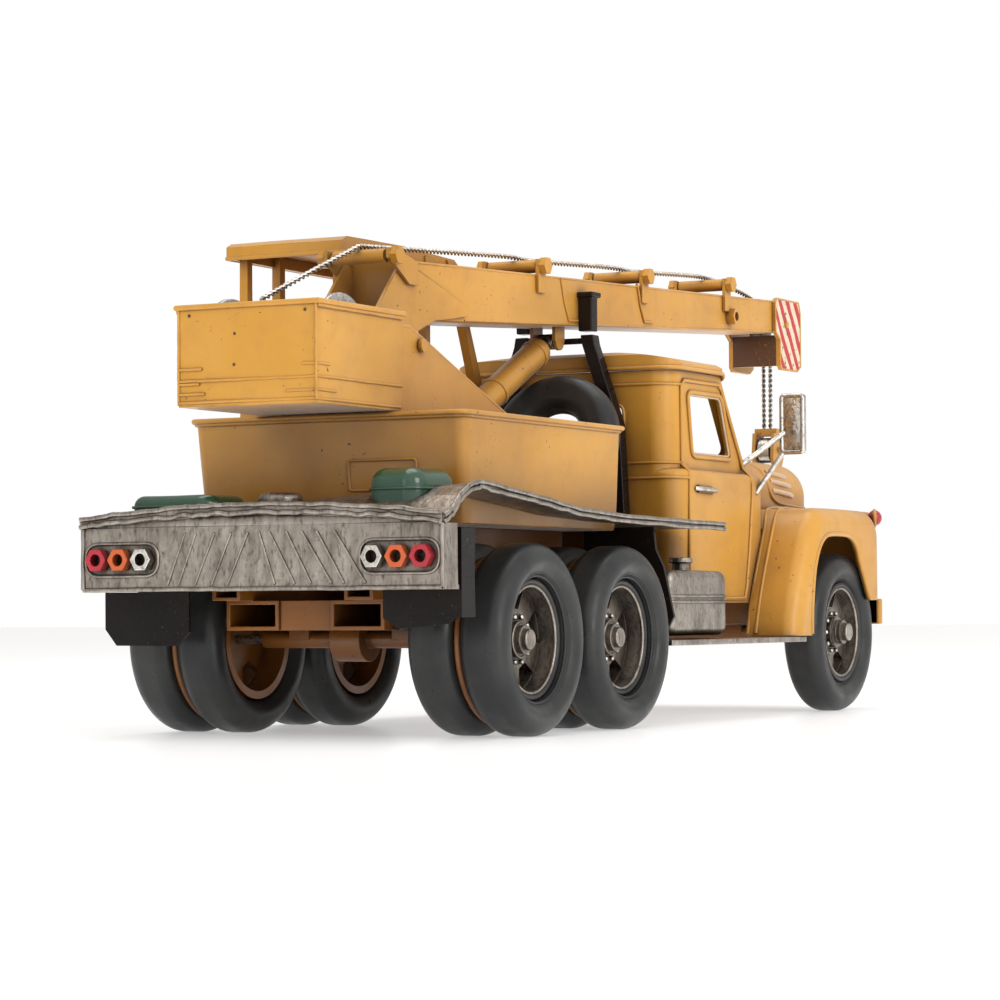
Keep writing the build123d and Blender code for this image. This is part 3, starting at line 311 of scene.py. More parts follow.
BROWN = (0.15, 0.058, 0.012)
SOOT = (0.03, 0.014, 0.007)
MATERIALS = {
    "yellow_paint": enamel("yellow_enamel", (0.56, 0.262, 0.024), (0.63, 0.315, 0.052), BROWN, SOOT,
                           haze=0.22),
    "orange_paint": enamel("orange_enamel", (0.33, 0.115, 0.012), (0.42, 0.155, 0.02), (0.06, 0.02, 0.005),
                           SOOT),
    "black_paint": enamel("black_enamel", (0.004, 0.004, 0.005), (0.008, 0.007, 0.007), (0.02, 0.009, 0.004),
                          (0.08, 0.035, 0.012), (0.16, 0.34), 0.3, 0.66, 0.13),
    "green_paint": enamel("green_enamel", (0.016, 0.058, 0.032), (0.028, 0.085, 0.048), (0.008, 0.03, 0.014),
                          (0.01, 0.02, 0.01), (0.10, 0.22), 0.7, 0.74, 0.6),
    "red_paint": enamel("red_enamel", (0.42, 0.018, 0.03), (0.55, 0.04, 0.06), (0.10, 0.006, 0.008), SOOT,
                        (0.2, 0.35)),
    "amber_paint": enamel("amber_enamel", (0.58, 0.10, 0.025), (0.66, 0.15, 0.04), (0.15, 0.03, 0.008), SOOT,
                          (0.2, 0.35)),
    "pewter": bare_metal("pewter", (0.43, 0.385, 0.335), (0.22, 0.19, 0.162), (0.035, 0.026, 0.02),
                         (0.26, 0.5), 1.0, (1, 1, 0.35)),
    "bright_steel": bare_metal("bright_steel", (0.78, 0.75, 0.70), (0.46, 0.43, 0.39), (0.07, 0.055, 0.042),
                               (0.16, 0.4), 0.9),
    "steel_cable": bare_metal("steel_cable", (0.86, 0.82, 0.76), (0.55, 0.49, 0.43), (0.06, 0.032, 0.018),
                              (0.2, 0.4), 1.0),
    "tyre": rubber("tyre_rubber", (0.015, 0.0158, 0.0165), (0.038, 0.038, 0.037)),
}


def striped(name, cream, red, dark, tilt, pitch):
    """Diagonal hand-painted warning stripes, worn down to the dark metal."""
    look = Look(name, 0.42)
    mapping = look.nodes.new("ShaderNodeMapping")
    mapping.inputs["Rotation"].default_value = (0, tilt, 0)
    look.links.new(look.place, mapping.inputs["Vector"])
    bands = look.nodes.new("ShaderNodeTexWave")
    bands.bands_direction = "X"
    bands.inputs["Scale"].default_value = math.pi / (10 * pitch)
    bands.inputs["Distortion"].default_value = 1.6
    bands.inputs["Detail"].default_value = 2.0
    bands.inputs["Detail Scale"].default_value = 1.5
    look.links.new(mapping.outputs["Vector"], bands.inputs["Vector"])
    tone = look.blend(look.remap(bands.outputs["Fac"], 0.45, 0.60), cream, red)
    tone = look.blend(look.remap(look.noise(330, 5), 0.60, 0.68), tone, dark)
    tone = look.blend(look.math("MULTIPLY", look.edges(0.0006), 0.6), tone, dark)
    look.colour(tone)
    look.rough(look.remap(look.noise(120, 4), 0.3, 0.7, 0.35, 0.6))
    look.bump(look.noise(260, 4), 0.0002, 0.6)
    return look.material


STRIPES = striped("hazard_stripes", (0.72, 0.60, 0.44), (0.50, 0.03, 0.035), (0.16, 0.07, 0.03), 0.62, 0.0068)
# Dark rust enamel: real rust on the rivets, and painted shade on the back of the boom head.
RUST_AND_SHADE = enamel("dark_rust_and_shade", (0.055, 0.022, 0.010), (0.12, 0.05, 0.018), (0.02, 0.008, 0.004),
              (0.30, 0.15, 0.04), (0.4, 0.7), 0.8, 0.6)
# Pale enamel for worn edges, also used as a painted highlight on the hood louvres.
WORN_EDGE_AND_HIGHLIGHT = enamel("worn_edge_and_highlight", (0.60, 0.42, 0.27), (0.68, 0.52, 0.36), (0.20, 0.10, 0.04), SOOT,
                   (0.25, 0.45), 0.4, 0.7)


# ---------------------------------------------------------------- piece helpers
def link(name, mesh, body, slot, material=None):
    """A finished mesh as a piece of the model."""
    piece = bpy.data.objects.new(name, mesh)
    bpy.context.collection.objects.link(piece)
    mesh.materials.clear()
    mesh.materials.append(material or MATERIALS[slot])
    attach(piece, body)
    return piece


def shade(mesh, angle=35):
    """Smooth faces with sharp edges above an angle."""
    for face in mesh.polygons:
        face.use_smooth = True
    mesh.set_sharp_from_angle(angle=math.radians(angle))


def refine(bm, length, rounds=5):
    """Splits edges until none is much longer than length."""
    for _ in range(rounds):
        bmesh.ops.triangulate(bm, faces=[face for face in bm.faces if len(face.verts) > 4])
        long_edges = [edge for edge in bm.edges if edge.calc_length() > length]
        if not long_edges:
            break
        bmesh.ops.subdivide_edges(bm, edges=long_edges, cuts=1)
    bmesh.ops.triangulate(bm, faces=[face for face in bm.faces if len(face.verts) > 4])


def dent(bm, height, wave, seed):
    """Pushes the surface in and out a little, as hand-beaten tin."""
    offset = Vector((seed * 3.17, seed * 1.31, seed * 2.71))
    bm.normal_update()
    moves = [(vert, height * noise.noise(vert.co / wave + offset)) for vert in bm.verts]
    for vert, move in moves:
        vert.co += vert.normal * move


def dress(node, slot, bevel=0.35, wave=None, seed=1, height=0.22, piece_length=6.0):
    """Replaces a CAD node by the same shape with softened edges and, with wave, beaten sheet."""
    mesh = frame["nodes"][node].data.copy()
    bm = bmesh.new()
    bm.from_mesh(mesh)
    bmesh.ops.remove_doubles(bm, verts=bm.verts, dist=2e-6)
    bmesh.ops.dissolve_limit(bm, angle_limit=math.radians(0.6), verts=bm.verts, edges=bm.edges)
    if bevel:
        sharp = [edge for edge in bm.edges
                 if len(edge.link_faces) == 2 and edge.calc_face_angle(0) > math.radians(32)]
        bmesh.ops.bevel(bm, geom=sharp, offset=bevel * MM, offset_type="OFFSET", segments=2,
                        profile=0.5, affect="EDGES", clamp_overlap=True)
    if wave:
        refine(bm, piece_length * MM)
        dent(bm, height * MM, wave * MM, seed)
    bm.to_mesh(mesh)
    bm.free()
    shade(mesh)
    piece = link(f"{node}.look", mesh, BODY_OF[node], slot)
    normals = piece.modifiers.new("normals", "WEIGHTED_NORMAL")
    normals.keep_sharp = True
    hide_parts(node)
    return piece


def tubes(name, lines, radius, body, slot, closed=False, smooth=False, material=None, resolution=3):
    """Round beads along one or more lines of points, as one mesh."""
    curve = bpy.data.curves.new(name, "CURVE")
    curve.dimensions = "3D"
    curve.bevel_depth = radius * MM
    curve.bevel_resolution = resolution
    curve.use_fill_caps = True
    for line in lines:
        spline = curve.splines.new("NURBS" if smooth else "POLY")
        spline.points.add(len(line) - 1)
        for point, place in zip(spline.points, line):
            point.co = (*place, 1)
        spline.use_cyclic_u = closed
        if smooth:
            spline.order_u = 3
            spline.use_endpoint_u = not closed
            spline.resolution_u = 6
    holder = bpy.data.objects.new(name, curve)
    mesh = bpy.data.meshes.new_from_object(holder)
    bpy.data.objects.remove(holder)
    shade(mesh, 50)
    return link(name, mesh, body, slot, material)


def route_points(points, resolution=8):
    """Points along the smooth NURBS route of a cable."""
    curve = bpy.data.curves.new("route", "CURVE")
    curve.dimensions = "3D"
    spline = curve.splines.new("NURBS")
    spline.points.add(len(points) - 1)
    for point, place in zip(spline.points, points):
        point.co = (*place, 1)
    spline.order_u = 3
    spline.use_endpoint_u = True
    spline.resolution_u = resolution
    holder = bpy.data.objects.new("route", curve)
    mesh = bpy.data.meshes.new_from_object(holder)
    places = [vert.co.copy() for vert in mesh.vertices]
    bpy.data.objects.remove(holder)
    return places


def spaced(places, step):
    """The same line as points a fixed step apart."""
    out = [places[0]]
    travelled = 0.0
    for start, end in zip(places, places[1:]):
        length = (end - start).length
        while travelled + length >= step:
            share = (step - travelled) / length
            start = start.lerp(end, share)
            out.append(start)
            length = (end - start).length
            travelled = 0.0
        travelled += length
    return out


def twisted(name, routes, strand_radius, lay, body, slot, replaces=(), strands=2, turns_step=0.55):
    """Cables of twisted strands along routes, as one mesh."""
    bm = bmesh.new()
    for route in routes:
        line = spaced(route, turns_step * MM)
        for strand in range(strands):
            rings = []
            normal = Vector((0, 1, 0))
            for index, place in enumerate(line):
                ahead = line[min(index + 1, len(line) - 1)]
                behind = line[max(index - 1, 0)]
                along = (ahead - behind).normalized()
                normal = (normal - along * normal.dot(along)).normalized()
                other = along.cross(normal)
                phase = math.tau * (index * turns_step / lay + strand / strands)
                centre = place + (normal * math.cos(phase) + other * math.sin(phase)) * strand_radius * MM
                ring = []
                for corner in range(6):
                    angle = math.tau * corner / 6 + phase
                    offset = (normal * math.cos(angle) + other * math.sin(angle)) * strand_radius * MM * 1.02
                    ring.append(bm.verts.new(centre + offset))
                rings.append(ring)
            for first, second in zip(rings, rings[1:]):
                for corner in range(6):
                    bm.faces.new((first[corner], first[(corner + 1) % 6], second[(corner + 1) % 6],
                                  second[corner]))
            bm.faces.new(list(reversed(rings[0])))
            bm.faces.new(rings[-1])
    mesh = bpy.data.meshes.new(name)
    bm.to_mesh(mesh)
    bm.free()
    shade(mesh, 60)
    piece = link(name, mesh, body, slot) if body else bpy.data.objects.new(name, mesh)
    if not body:
        bpy.context.collection.objects.link(piece)
        mesh.materials.append(MATERIALS[slot])
    if replaces:
        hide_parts(*replaces)
    return piece


def domes(name, places, radius, height, normal, body, slot, material=None):
    """Small rivet heads standing on a surface."""
    bm = bmesh.new()
    turn = Vector(normal).to_track_quat("Z", "Y").to_matrix().to_4x4()
    for place in places:
        made = bmesh.ops.create_uvsphere(bm, u_segments=10, v_segments=6, radius=radius * MM)
        bmesh.ops.transform(bm, verts=made["verts"], matrix=Matrix.Translation(place) @ turn
                            @ Matrix.Diagonal((1, 1, height / radius, 1)))
    mesh = bpy.data.meshes.new(name)
    bm.to_mesh(mesh)
    bm.free()
    shade(mesh, 60)
    return link(name, mesh, body, slot, material)


def ring_points(axle, y, z, radius, count=56):
    """A circle of points around a wheel's axis."""
    return [at(axle + radius * math.cos(math.tau * i / count), y, z + radius * math.sin(math.tau * i / count))
            for i in range(count)]


def both(points):
    """A line and its mirror image on the other side of the truck."""
    return [[at(x, hand * y, z) for x, y, z in points] for hand in (-1, 1)]


# ---------------------------------------------------------------- dressed CAD pieces
SHEET = {
    "tub": ("yellow_paint", 0.45, 34), "cab_shell": ("yellow_paint", 0.6, 40),
    "hood": ("yellow_paint", 0.6, 40), "fenders": ("yellow_paint", 0.5, 36),
    "counterweight_box": ("yellow_paint", 0.35, 30), "slew_frame": ("yellow_paint", 0.3, 34),
    "boom_beam": ("yellow_paint", 0.3, 46), "rear_bumper": ("pewter", 0.35, 26),
    "deck": ("pewter", 0.3, 30), "mud_flaps": ("black_paint", 0.25, 20),
    "cab_roof": ("yellow_paint", 0.25, 44), "fuel_tank": ("pewter", 0.4, 22),
    "lockers": ("green_paint", 0.6, 20), "operator_cab": ("yellow_paint", 0.3, 30),
}
SOLID = {
    "frame_rails": ("orange_paint", 0.3), "subframe": ("orange_paint", 0.3),
    "axle_housings": ("orange_paint", 0.3), "rear_inner_rims": ("orange_paint", 0.2),
    "middle_inner_rims": ("orange_paint", 0.2), "slew_pedestal": ("orange_paint", 0.3),
    "turntable": ("orange_paint", 0.4), "front_bumper": ("yellow_paint", 0.6),
    "boom_head": ("yellow_paint", 0.25), "roller_brackets": ("yellow_paint", 0.2),
    "cable_roller_1": ("yellow_paint", 0.2), "cable_roller_2": ("yellow_paint", 0.2),
    "cable_roller_3": ("yellow_paint", 0.2), "cable_roller_4": ("yellow_paint", 0.2),
    "lift_barrel": ("yellow_paint", 0.3), "hook_block": ("yellow_paint", 0.3),
    "hook": ("yellow_paint", 0.1), "rear_outer_rims": ("pewter", 0.2),
    "middle_outer_rims": ("pewter", 0.2), "front_rims": ("pewter", 0.2),
    "deck_cap": ("pewter", 0.3), "running_boards": ("pewter", 0.3), "grille": ("pewter", 0.3),
    "boom_rest": ("black_paint", 0.5), "boom_ears": ("black_paint", 0.5),
    "rear_tyres": ("tyre", 0), "middle_tyres": ("tyre", 0), "front_tyres": ("tyre", 0),
    "spare_tyre": ("tyre", 0), "lamp_nuts_red": ("red_paint", 0.3),
    "lamp_nuts_orange": ("amber_paint", 0.3), "lamp_nuts_silver": ("bright_steel", 0.3),
    "fender_lamps": ("yellow_paint", 0.2), "mirrors": ("bright_steel", 0.25),
    "headlamps": ("bright_steel", 0.2), "rear_axle_rod": ("bright_steel", 0.2),
    "middle_axle_rod": ("bright_steel", 0.2), "front_axle_rod": ("bright_steel", 0.2),
    "lift_rod": ("bright_steel", 0.2), "head_sheave": ("bright_steel", 0.2),
    "hook_sheave": ("bright_steel", 0.2), "winch_drum": ("bright_steel", 0.3),
}
for seed, (node, (slot, bevel, wave)) in enumerate(SHEET.items(), start=1):
    dress(node, slot, bevel, wave, seed)
for node, (slot, bevel) in SOLID.items():
    dress(node, slot, bevel)

# ---------------------------------------------------------------- cables
CABLE_STRAND = 0.52
CABLE_LAY = 5.2
ROLLER_TOP = 3.6
ROLLERS = ((5.0, 163.0), (118.8, 170.0), (209.3, 174.2), (291.0, 178.2))
run = [at(3.9, 0, 166.5)]
for x, z in ROLLERS[1:]:
    run += [at(x - 11, 0, z + ROLLER_TOP - 0.1), at(x, 0, z + ROLLER_TOP + 0.15),
            at(x + 11, 0, z + ROLLER_TOP - 0.1)]
run += [at(338, 0, 178.5), at(352, 0, 174.6), at(360, 0, 170.9), at(360, 0, 164), at(360, 0, 157.6)]
twisted("cable_over_boom", [route_points(run, 10)], CABLE_STRAND, CABLE_LAY, "boom", "steel_cable",
        ["cable_run"])
span = twisted("cable_to_drum", [route_points([at(-50.6, 5, 144), at(-25, 2.8, 155), at(3.9, 0, 166.5)])],
               CABLE_STRAND, CABLE_LAY, None, "steel_cable", ["cable_span"])
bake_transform(span)
falls = [route_points([at(360, y, 157.4), at(360, y * 1.15, 140), at(360, y, 121)]) for y in (-1.5, 1.5)]
twisted("hoist_falls.look", falls, CABLE_STRAND, 4.4, "hook", "steel_cable", ["hoist_falls"])

DRUM = (-44.0, 128.5)
COIL_R = 13.7
COIL_HALF = 19
COIL_TURNS = 22
TURN_STEPS = 40
helix = []
for step in range(COIL_TURNS * TURN_STEPS + 1):
    turn = step / TURN_STEPS
    angle = math.tau * turn
    wander = 0.35 * math.sin(turn * 1.7)
    helix.append(at(DRUM[0] + COIL_R * math.cos(angle),
                    -COIL_HALF + 2 * COIL_HALF * turn / COIL_TURNS + wander,
                    DRUM[1] + COIL_R * math.sin(angle)))
twisted("wound_cable", [helix], CABLE_STRAND, CABLE_LAY, "winch", "steel_cable", ["drum_cable"], 2, 1.3)

# ---------------------------------------------------------------- wheels
AXLE_Z = 32
BOLT_CIRCLE = 7.8
BOLTS = 10
WHEELS = (("rear_wheels", 0.0, 73.0, True), ("middle_wheels", 68.7, 73.0, True),
          ("front_wheels", 276.9, 69.8, False))
for body, axle, face, twin in WHEELS:
    depth = 5.8 if twin else 3.2
    rings = [ring_points(axle, hand * (face - inset), AXLE_Z, radius) for hand in (-1, 1)
             for inset, radius in ((2.3, 22.2), (3.6, 21.1))]
    tubes(f"{body}.tyre_bead", rings, 0.55, body, "tyre", closed=True)
    skirts = [ring_points(axle, hand * (face - depth), AXLE_Z, 19.3) for hand in (-1, 1)]
    tubes(f"{body}.rim_skirt", skirts, 1.15, body, "tyre", closed=True)
    lips = [ring_points(axle, hand * (face - depth + 0.1), AXLE_Z, 17.8) for hand in (-1, 1)]
    tubes(f"{body}.rim_lip", lips, 0.6, body, "pewter", closed=True)
    hub = 62.7 if twin else 63.7
    studs = []
    for step in range(BOLTS):
        angle = math.tau * step / BOLTS
        studs.append((axle + BOLT_CIRCLE * math.cos(angle), AXLE_Z + BOLT_CIRCLE * math.sin(angle)))
    for hand, side in ((-1, "right"), (1, "left")):
        domes(f"{body}.studs_{side}", [at(x, hand * hub, z) for x, z in studs], 0.95, 0.7, (0, hand, 0), body,
              "bright_steel")
    steps = [ring_points(axle, hand * (hub + reach), AXLE_Z, radius, 32) for hand in (-1, 1)
             for reach, radius in ((0.8, 5.9), (2.6, 4.5))]
    tubes(f"{body}.hub_steps", steps, 0.4, body, "pewter", closed=True)
    if twin:
        bands = [ring_points(axle, hand * 54.75, AXLE_Z, 27.4) for hand in (-1, 1)]
        tubes(f"{body}.dual_band", bands, 1.3, body, "orange_paint", closed=True)


# ---------------------------------------------------------------- beads and fittings
def rounded(points, radius, steps=4):
    """A closed outline of 2-D corners with each corner rounded."""
    out = []
    count = len(points)
    for index, corner in enumerate(points):
        here = Vector(corner)
        before = (Vector(points[index - 1]) - here).normalized()
        after = (Vector(points[(index + 1) % count]) - here).normalized()
        for step in range(steps + 1):
            share = step / steps
            out.append(here + before * radius * (1 - share) ** 2 + after * radius * share ** 2)
    return out


def on_sides(outline, y):
    """The same outline in x and z on both side walls."""
    return [[at(x, hand * y, z) for x, z in outline] for hand in (-1, 1)]


def across_wall(outline, x):
    """An outline in y and z on a wall that faces along the truck."""
    return [[at(x, y, z) for y, z in outline]]


def chain(points, rise=0.0, sway=0.0, seed=0, steps=10):
    """A line through points, split finely, with a hand-made waver."""
    waver = random.Random(seed)
    out = []
    for start, end in zip(points, points[1:]):
        for step in range(steps):
            place = Vector(start).lerp(Vector(end), step / steps)
            out.append(at(place.x + waver.uniform(-sway, sway), place.y + waver.uniform(-sway, sway) * 0.4,
                          place.z + waver.uniform(-rise, rise)))
    out.append(at(*points[-1]))
    return out


BODY = "chassis"
UPPER_SIDE = 46.15
DOOR = ((165, 50.1, 46.5), (166, 50.1, 91.5), (166.6, 49.3, 94.2), (167, 46.2, 96.8), (167, 46.2, 126.6),
        (169.4, 46.2, 129.1), (201.6, 46.2, 129.1), (204.4, 46.2, 127.4), (222.6, 46.2, 101.5),
        (224.4, 46.6, 97.2), (225.4, 49.3, 94.2), (225.8, 50.1, 91), (225.6, 50.1, 86), (222.6, 50.1, 66),
        (219.4, 50.1, 50), (217.4, 50.1, 45.9), (167, 50.1, 45.3))
tubes("door_beads", both(DOOR), 0.8, BODY, "yellow_paint", closed=True)
WINDOW = ((174, 123.8), (203.6, 123.8), (213, 101.4), (177.6, 101.4))
FRAME = ((172.8, 124.9), (204.6, 124.9), (214.7, 100.2), (176.6, 100.2))
tubes("window_frames", on_sides(rounded(FRAME, 3.4), UPPER_SIDE), 0.95, BODY, "yellow_paint", closed=True)
tubes("window_lips", on_sides(rounded(WINDOW, 2.4), UPPER_SIDE - 0.3), 0.5, BODY, "yellow_paint",
      closed=True, material=WORN_EDGE_AND_HIGHLIGHT)
REAR_GLASS = ((-26.4, 102.1), (26.4, 102.1), (26.4, 119.9), (-26.4, 119.9))
tubes("rear_window_lip", across_wall(rounded(REAR_GLASS, 3.6), 158.0), 0.7, BODY, "yellow_paint", closed=True)
handles = [[at(171, hand * 50.4, 87.6), at(171.6, hand * 51.9, 87.6), at(186, hand * 52.1, 87.2),
            at(187.4, hand * 51.5, 87.2)] for hand in (-1, 1)]
tubes("door_handles", handles, 0.95, BODY, "bright_steel", smooth=True)
handle_bases = [[at(172.5, hand * 50.2, 87.6), at(185.5, hand * 50.2, 87.2)] for hand in (-1, 1)]
tubes("handle_plates", handle_bases, 1.6, BODY, "pewter")


def round_corner(inner, outer, z, turns=6):
    """A line across the cab's rear wall that wraps round both rear corners at a height."""
    line = [(167, -inner, z)]
    for step in range(turns + 1):
        angle = math.pi / 2 * step / turns
        line.append((167 - outer * math.sin(angle), -(inner - 9) - outer * math.cos(angle), z))
    return [at(*point) for point in line + [(x, -y, z) for x, y, z in reversed(line)]]


tubes("cab_creases", [round_corner(46, 9.1, 127.4), round_corner(46, 9.1, 97.4)], 0.55, BODY, "yellow_paint")
tubes("cab_belt", [round_corner(50, 9.1, 91.6)], 0.6, BODY, "yellow_paint")
roof_plan = rounded(((157.1, -47.9), (209.2, -47.9), (209.2, 47.9), (157.1, 47.9)), 8.6, 8)
roof_edge = [at(x, y, 133.5 - max(0.0, x - 203) * 0.4) for x, y in roof_plan]
tubes("roof_beads", [roof_edge], 0.8, BODY, "yellow_paint", closed=True)
LOUVRES = ((40.9, 89.6), (39.9, 93.4), (37.9, 97.0))
louvres = [[at(268.6, hand * (y - 0.6), z + 0.3), at(271, hand * (y + 0.35), z + 0.2),
            at(287, hand * (y + 0.2), z - 0.9), at(290, hand * (y - 0.8), z - 1.2)]
           for hand in (-1, 1) for y, z in LOUVRES]
# Painted highlight: the louvres are drawn in pale enamel where light catches them.
tubes("hood_louvres", louvres, 1.2, BODY, "yellow_paint", smooth=True, material=WORN_EDGE_AND_HIGHLIGHT)
HOOD_PANEL = ((256, 31, 102.3), (262, 35.6, 99.6), (263.6, 38.2, 97.2), (263.4, 40.2, 93),
              (264.6, 41.1, 89), (268, 41.3, 86.2), (277, 41.2, 84.4), (302, 40.8, 83.6))
tubes("hood_panels", both(HOOD_PANEL), 0.75, BODY, "yellow_paint", smooth=True)
ARCH = ((233.6, 31.6), (233.6, 40), (235.4, 51), (237.6, 59), (241.6, 65.8), (247.4, 70.2), (254, 71.6),
        (273, 71.6), (279.4, 69.6), (283.4, 66.2), (285.2, 62), (291, 54), (296.6, 46))
tubes("arch_beads", on_sides(ARCH, 71.7), 1.0, BODY, "yellow_paint", smooth=True)
SWEEP = ((218.0, 51.0, 31.6), (222.2, 51.0, 45.5), (230.2, 51.0, 62.2), (236.5, 50.8, 73.1),
         (243, 48.6, 79.8), (254, 45.0, 82.5), (280, 43.2, 82.8), (303, 42.4, 82.4))
FLARE = ((217.7, 54.6, 32), (221.9, 54.6, 45.5), (229.9, 54.6, 62.2), (236.2, 54.4, 73.1),
         (242.4, 53.2, 79.4), (251, 51.4, 82.0), (262, 50.2, 82.3))
tubes("fender_seams", both(SWEEP) + both(FLARE), 0.8, BODY, "yellow_paint", smooth=True)
HOOD_SEAM = [[at(237.2, -41.8, 62), at(237.2, -41.8, 88), at(237.2, -41.0, 94), at(237.2, -37.6, 99.2),
              at(237.2, -31, 102.6), at(237.2, -24, 103.2), at(237.2, 0, 103.3), at(237.2, 24, 103.2),
              at(237.2, 31, 102.6), at(237.2, 37.6, 99.2), at(237.2, 41.0, 94), at(237.2, 41.8, 88),
              at(237.2, 41.8, 62)]]
tubes("hood_seam", HOOD_SEAM, 0.8, BODY, "yellow_paint", smooth=True)

MIRROR_GLASS = ((-57.9, 103.9), (-66.9, 103.9), (-66.9, 126.5), (-57.9, 126.5))
frames = across_wall(rounded(MIRROR_GLASS, 1.4), 238.0)
frames += across_wall([(-y, z) for y, z in rounded(MIRROR_GLASS, 1.4)], 238.0)
tubes("mirror_frames", frames, 0.95, BODY, "bright_steel", closed=True)


def panel(name, corner, width_way, height_way, bulge, body, slot, material=None, cells=10):
    """A thin crowned plate spanned by two edge vectors from a corner."""
    bm = bmesh.new()
    normal = width_way.cross(height_way).normalized()
    sheets = []
    for depth in (0.0, -0.25 * MM):
        rows = []
        for j in range(cells + 1):
            row = []
            for i in range(cells + 1):
                swell = bulge * MM * math.sin(math.pi * i / cells) * math.sin(math.pi * j / cells)
                row.append(bm.verts.new(corner + width_way * i / cells + height_way * j / cells
                                        + normal * (depth + swell)))
            rows.append(row)
        sheets.append(rows)
    for rows, flip in zip(sheets, (False, True)):
        for j in range(cells):
            for i in range(cells):
                quad = [rows[j][i], rows[j][i + 1], rows[j + 1][i + 1], rows[j + 1][i]]
                bm.faces.new(list(reversed(quad)) if flip else quad)
    bmesh.ops.bridge_loops(bm, edges=[edge for edge in bm.edges if edge.is_boundary])
    mesh = bpy.data.meshes.new(name)
    bm.to_mesh(mesh)
    bm.free()
    shade(mesh, 50)
    return link(name, mesh, body, slot, material)


panel("mirror_glass_right", at(237.9, -58.2, 104.2), Vector((0, -8.4 * MM, 0)), Vector((0, 0, 22 * MM)),
      0.5, BODY, "bright_steel")
panel("mirror_glass_left", at(237.9, 66.6, 104.2), Vector((0, -8.4 * MM, 0)), Vector((0, 0, 22 * MM)),
      0.5, BODY, "bright_steel")

# fender lamps: a red lens in a yellow ring
LENS_X = 308.4
LENS_RING_R = 3.2
for hand, side in ((-1, "right"), (1, "left")):
    domes(f"fender_lens_{side}", [at(LENS_X, hand * 70.0, 79.2)], 3.3, 2.9, (0.45, hand, 0.25), BODY,
          "red_paint")
lens_rings = []
for hand in (-1, 1):
    turns = [math.tau * i / 20 for i in range(20)]
    lens_rings.append([at(LENS_X + LENS_RING_R * math.cos(turn), hand * (69.8 - 1.3 * math.cos(turn)),
                          79.0 + LENS_RING_R * math.sin(turn)) for turn in turns])
tubes("fender_lens_rings", lens_rings, 0.8, BODY, "yellow_paint", closed=True)

# fuel tank bands and edges
TANK = ((113.2, -37), (113.2, -62.6), (114.6, -65.6), (117, -66.8), (160, -66.8), (162.4, -65.6),
        (163.8, -62.6), (163.8, -51))
tubes("tank_bands", [[at(x, y, z) for x, y in TANK] for z in (44.4, 46.4)], 0.6, BODY, "pewter")

# rear bumper: scored slanting lines, lamp recess outlines and rolled edges
BUMPER_FACE = -62.0
SCORES = ((34.7, 27.9), (30.5, 23.6), (24.0, 16.4), (17.5, 10.0), (11.4, 3.6), (-6.5, -0.6), (-14.1, -4.6),
          (-20.2, -11.0), (-27.9, -16.8), (-32.5, -22.4), (-40.5, -29.0))
scores = [[at(BUMPER_FACE, low, 50.6), at(BUMPER_FACE, (low + high) / 2, 59), at(BUMPER_FACE, high, 67.4)]
          for low, high in SCORES]
tubes("bumper_scores", scores, 0.42, BODY, "pewter")
PILL = rounded(((-67.2, 53.6), (-38.4, 53.6), (-38.4, 64.4), (-67.2, 64.4)), 5.2, 8)
pills = across_wall(PILL, -61.95) + across_wall([(-y, z) for y, z in PILL], -61.95)
tubes("lamp_recess_edges", pills, 0.55, BODY, "pewter", closed=True)
edges = [chain([(-62, 68.2, 49.1), (-62, -68.2, 49.1)], 0.12, 0.1, 3, 30),
         chain([(-62, 68.3, 49.2), (-62, 68.3, 69.2)], 0.05, 0.15, 4, 8),
         chain([(-62, -68.3, 49.2), (-62, -68.3, 69.2)], 0.05, 0.15, 5, 8)]
tubes("bumper_edges", edges, 0.75, BODY, "pewter")


def crown(y):
    """Height of the deck's rear lip at a distance from the middle."""
    return 72.4 + 3.8 * (1 - (y / 68.7) ** 2)


panel("lip_wall", at(-61.6, 67.8, 68.7), Vector((0, -135.6 * MM, 0)), Vector((0, 0, 4.5 * MM)), 0.3, BODY,
      "pewter")
hem_spans = [-68.7 + 137.4 * step / 26 for step in range(27)]
upper = [(-63.2, y, crown(y) + 0.2) for y in hem_spans]
lower = [(-63.3, y, crown(y) - 2.4) for y in hem_spans]
tubes("rear_hem", [chain(upper, 0.28, 0.25, 7, 2), chain(lower, 0.5, 0.35, 8, 2)], 0.85, BODY, "pewter",
      smooth=True)
RIGHT_EDGE = ((-62, 71.6), (-57, 73.9), (-51.7, 78.5), (-45, 81.9), (-38, 83.1), (-24.6, 81.9), (3.8, 79.2),
              (33.5, 76.0), (70.6, 74.4), (155.5, 73.4))
LEFT_EDGE = ((-62, 71.6), (-57, 72.8), (-51.7, 73.8), (-45, 74.4), (-38, 74.8), (-24.6, 75.0), (3.8, 75.0),
             (33.5, 74.8), (70.6, 74.2), (155.5, 73.4))
hems = []
for side_y, edge, seed in ((-69.1, RIGHT_EDGE, 11), (69.1, LEFT_EDGE, 12)):
    hems.append(chain([(x, side_y, z - 0.1) for x, z in edge], 0.14, 0.12, seed, 6))
    hems.append(chain([(x, side_y, z - 1.9) for x, z in edge], 0.3, 0.2, seed + 5, 6))
hems.append(chain([(155.6, -68.5, 73.0), (155.6, 68.5, 73.0)], 0.1, 0.15, 21, 30))
tubes("deck_hems", hems, 0.8, BODY, "pewter")

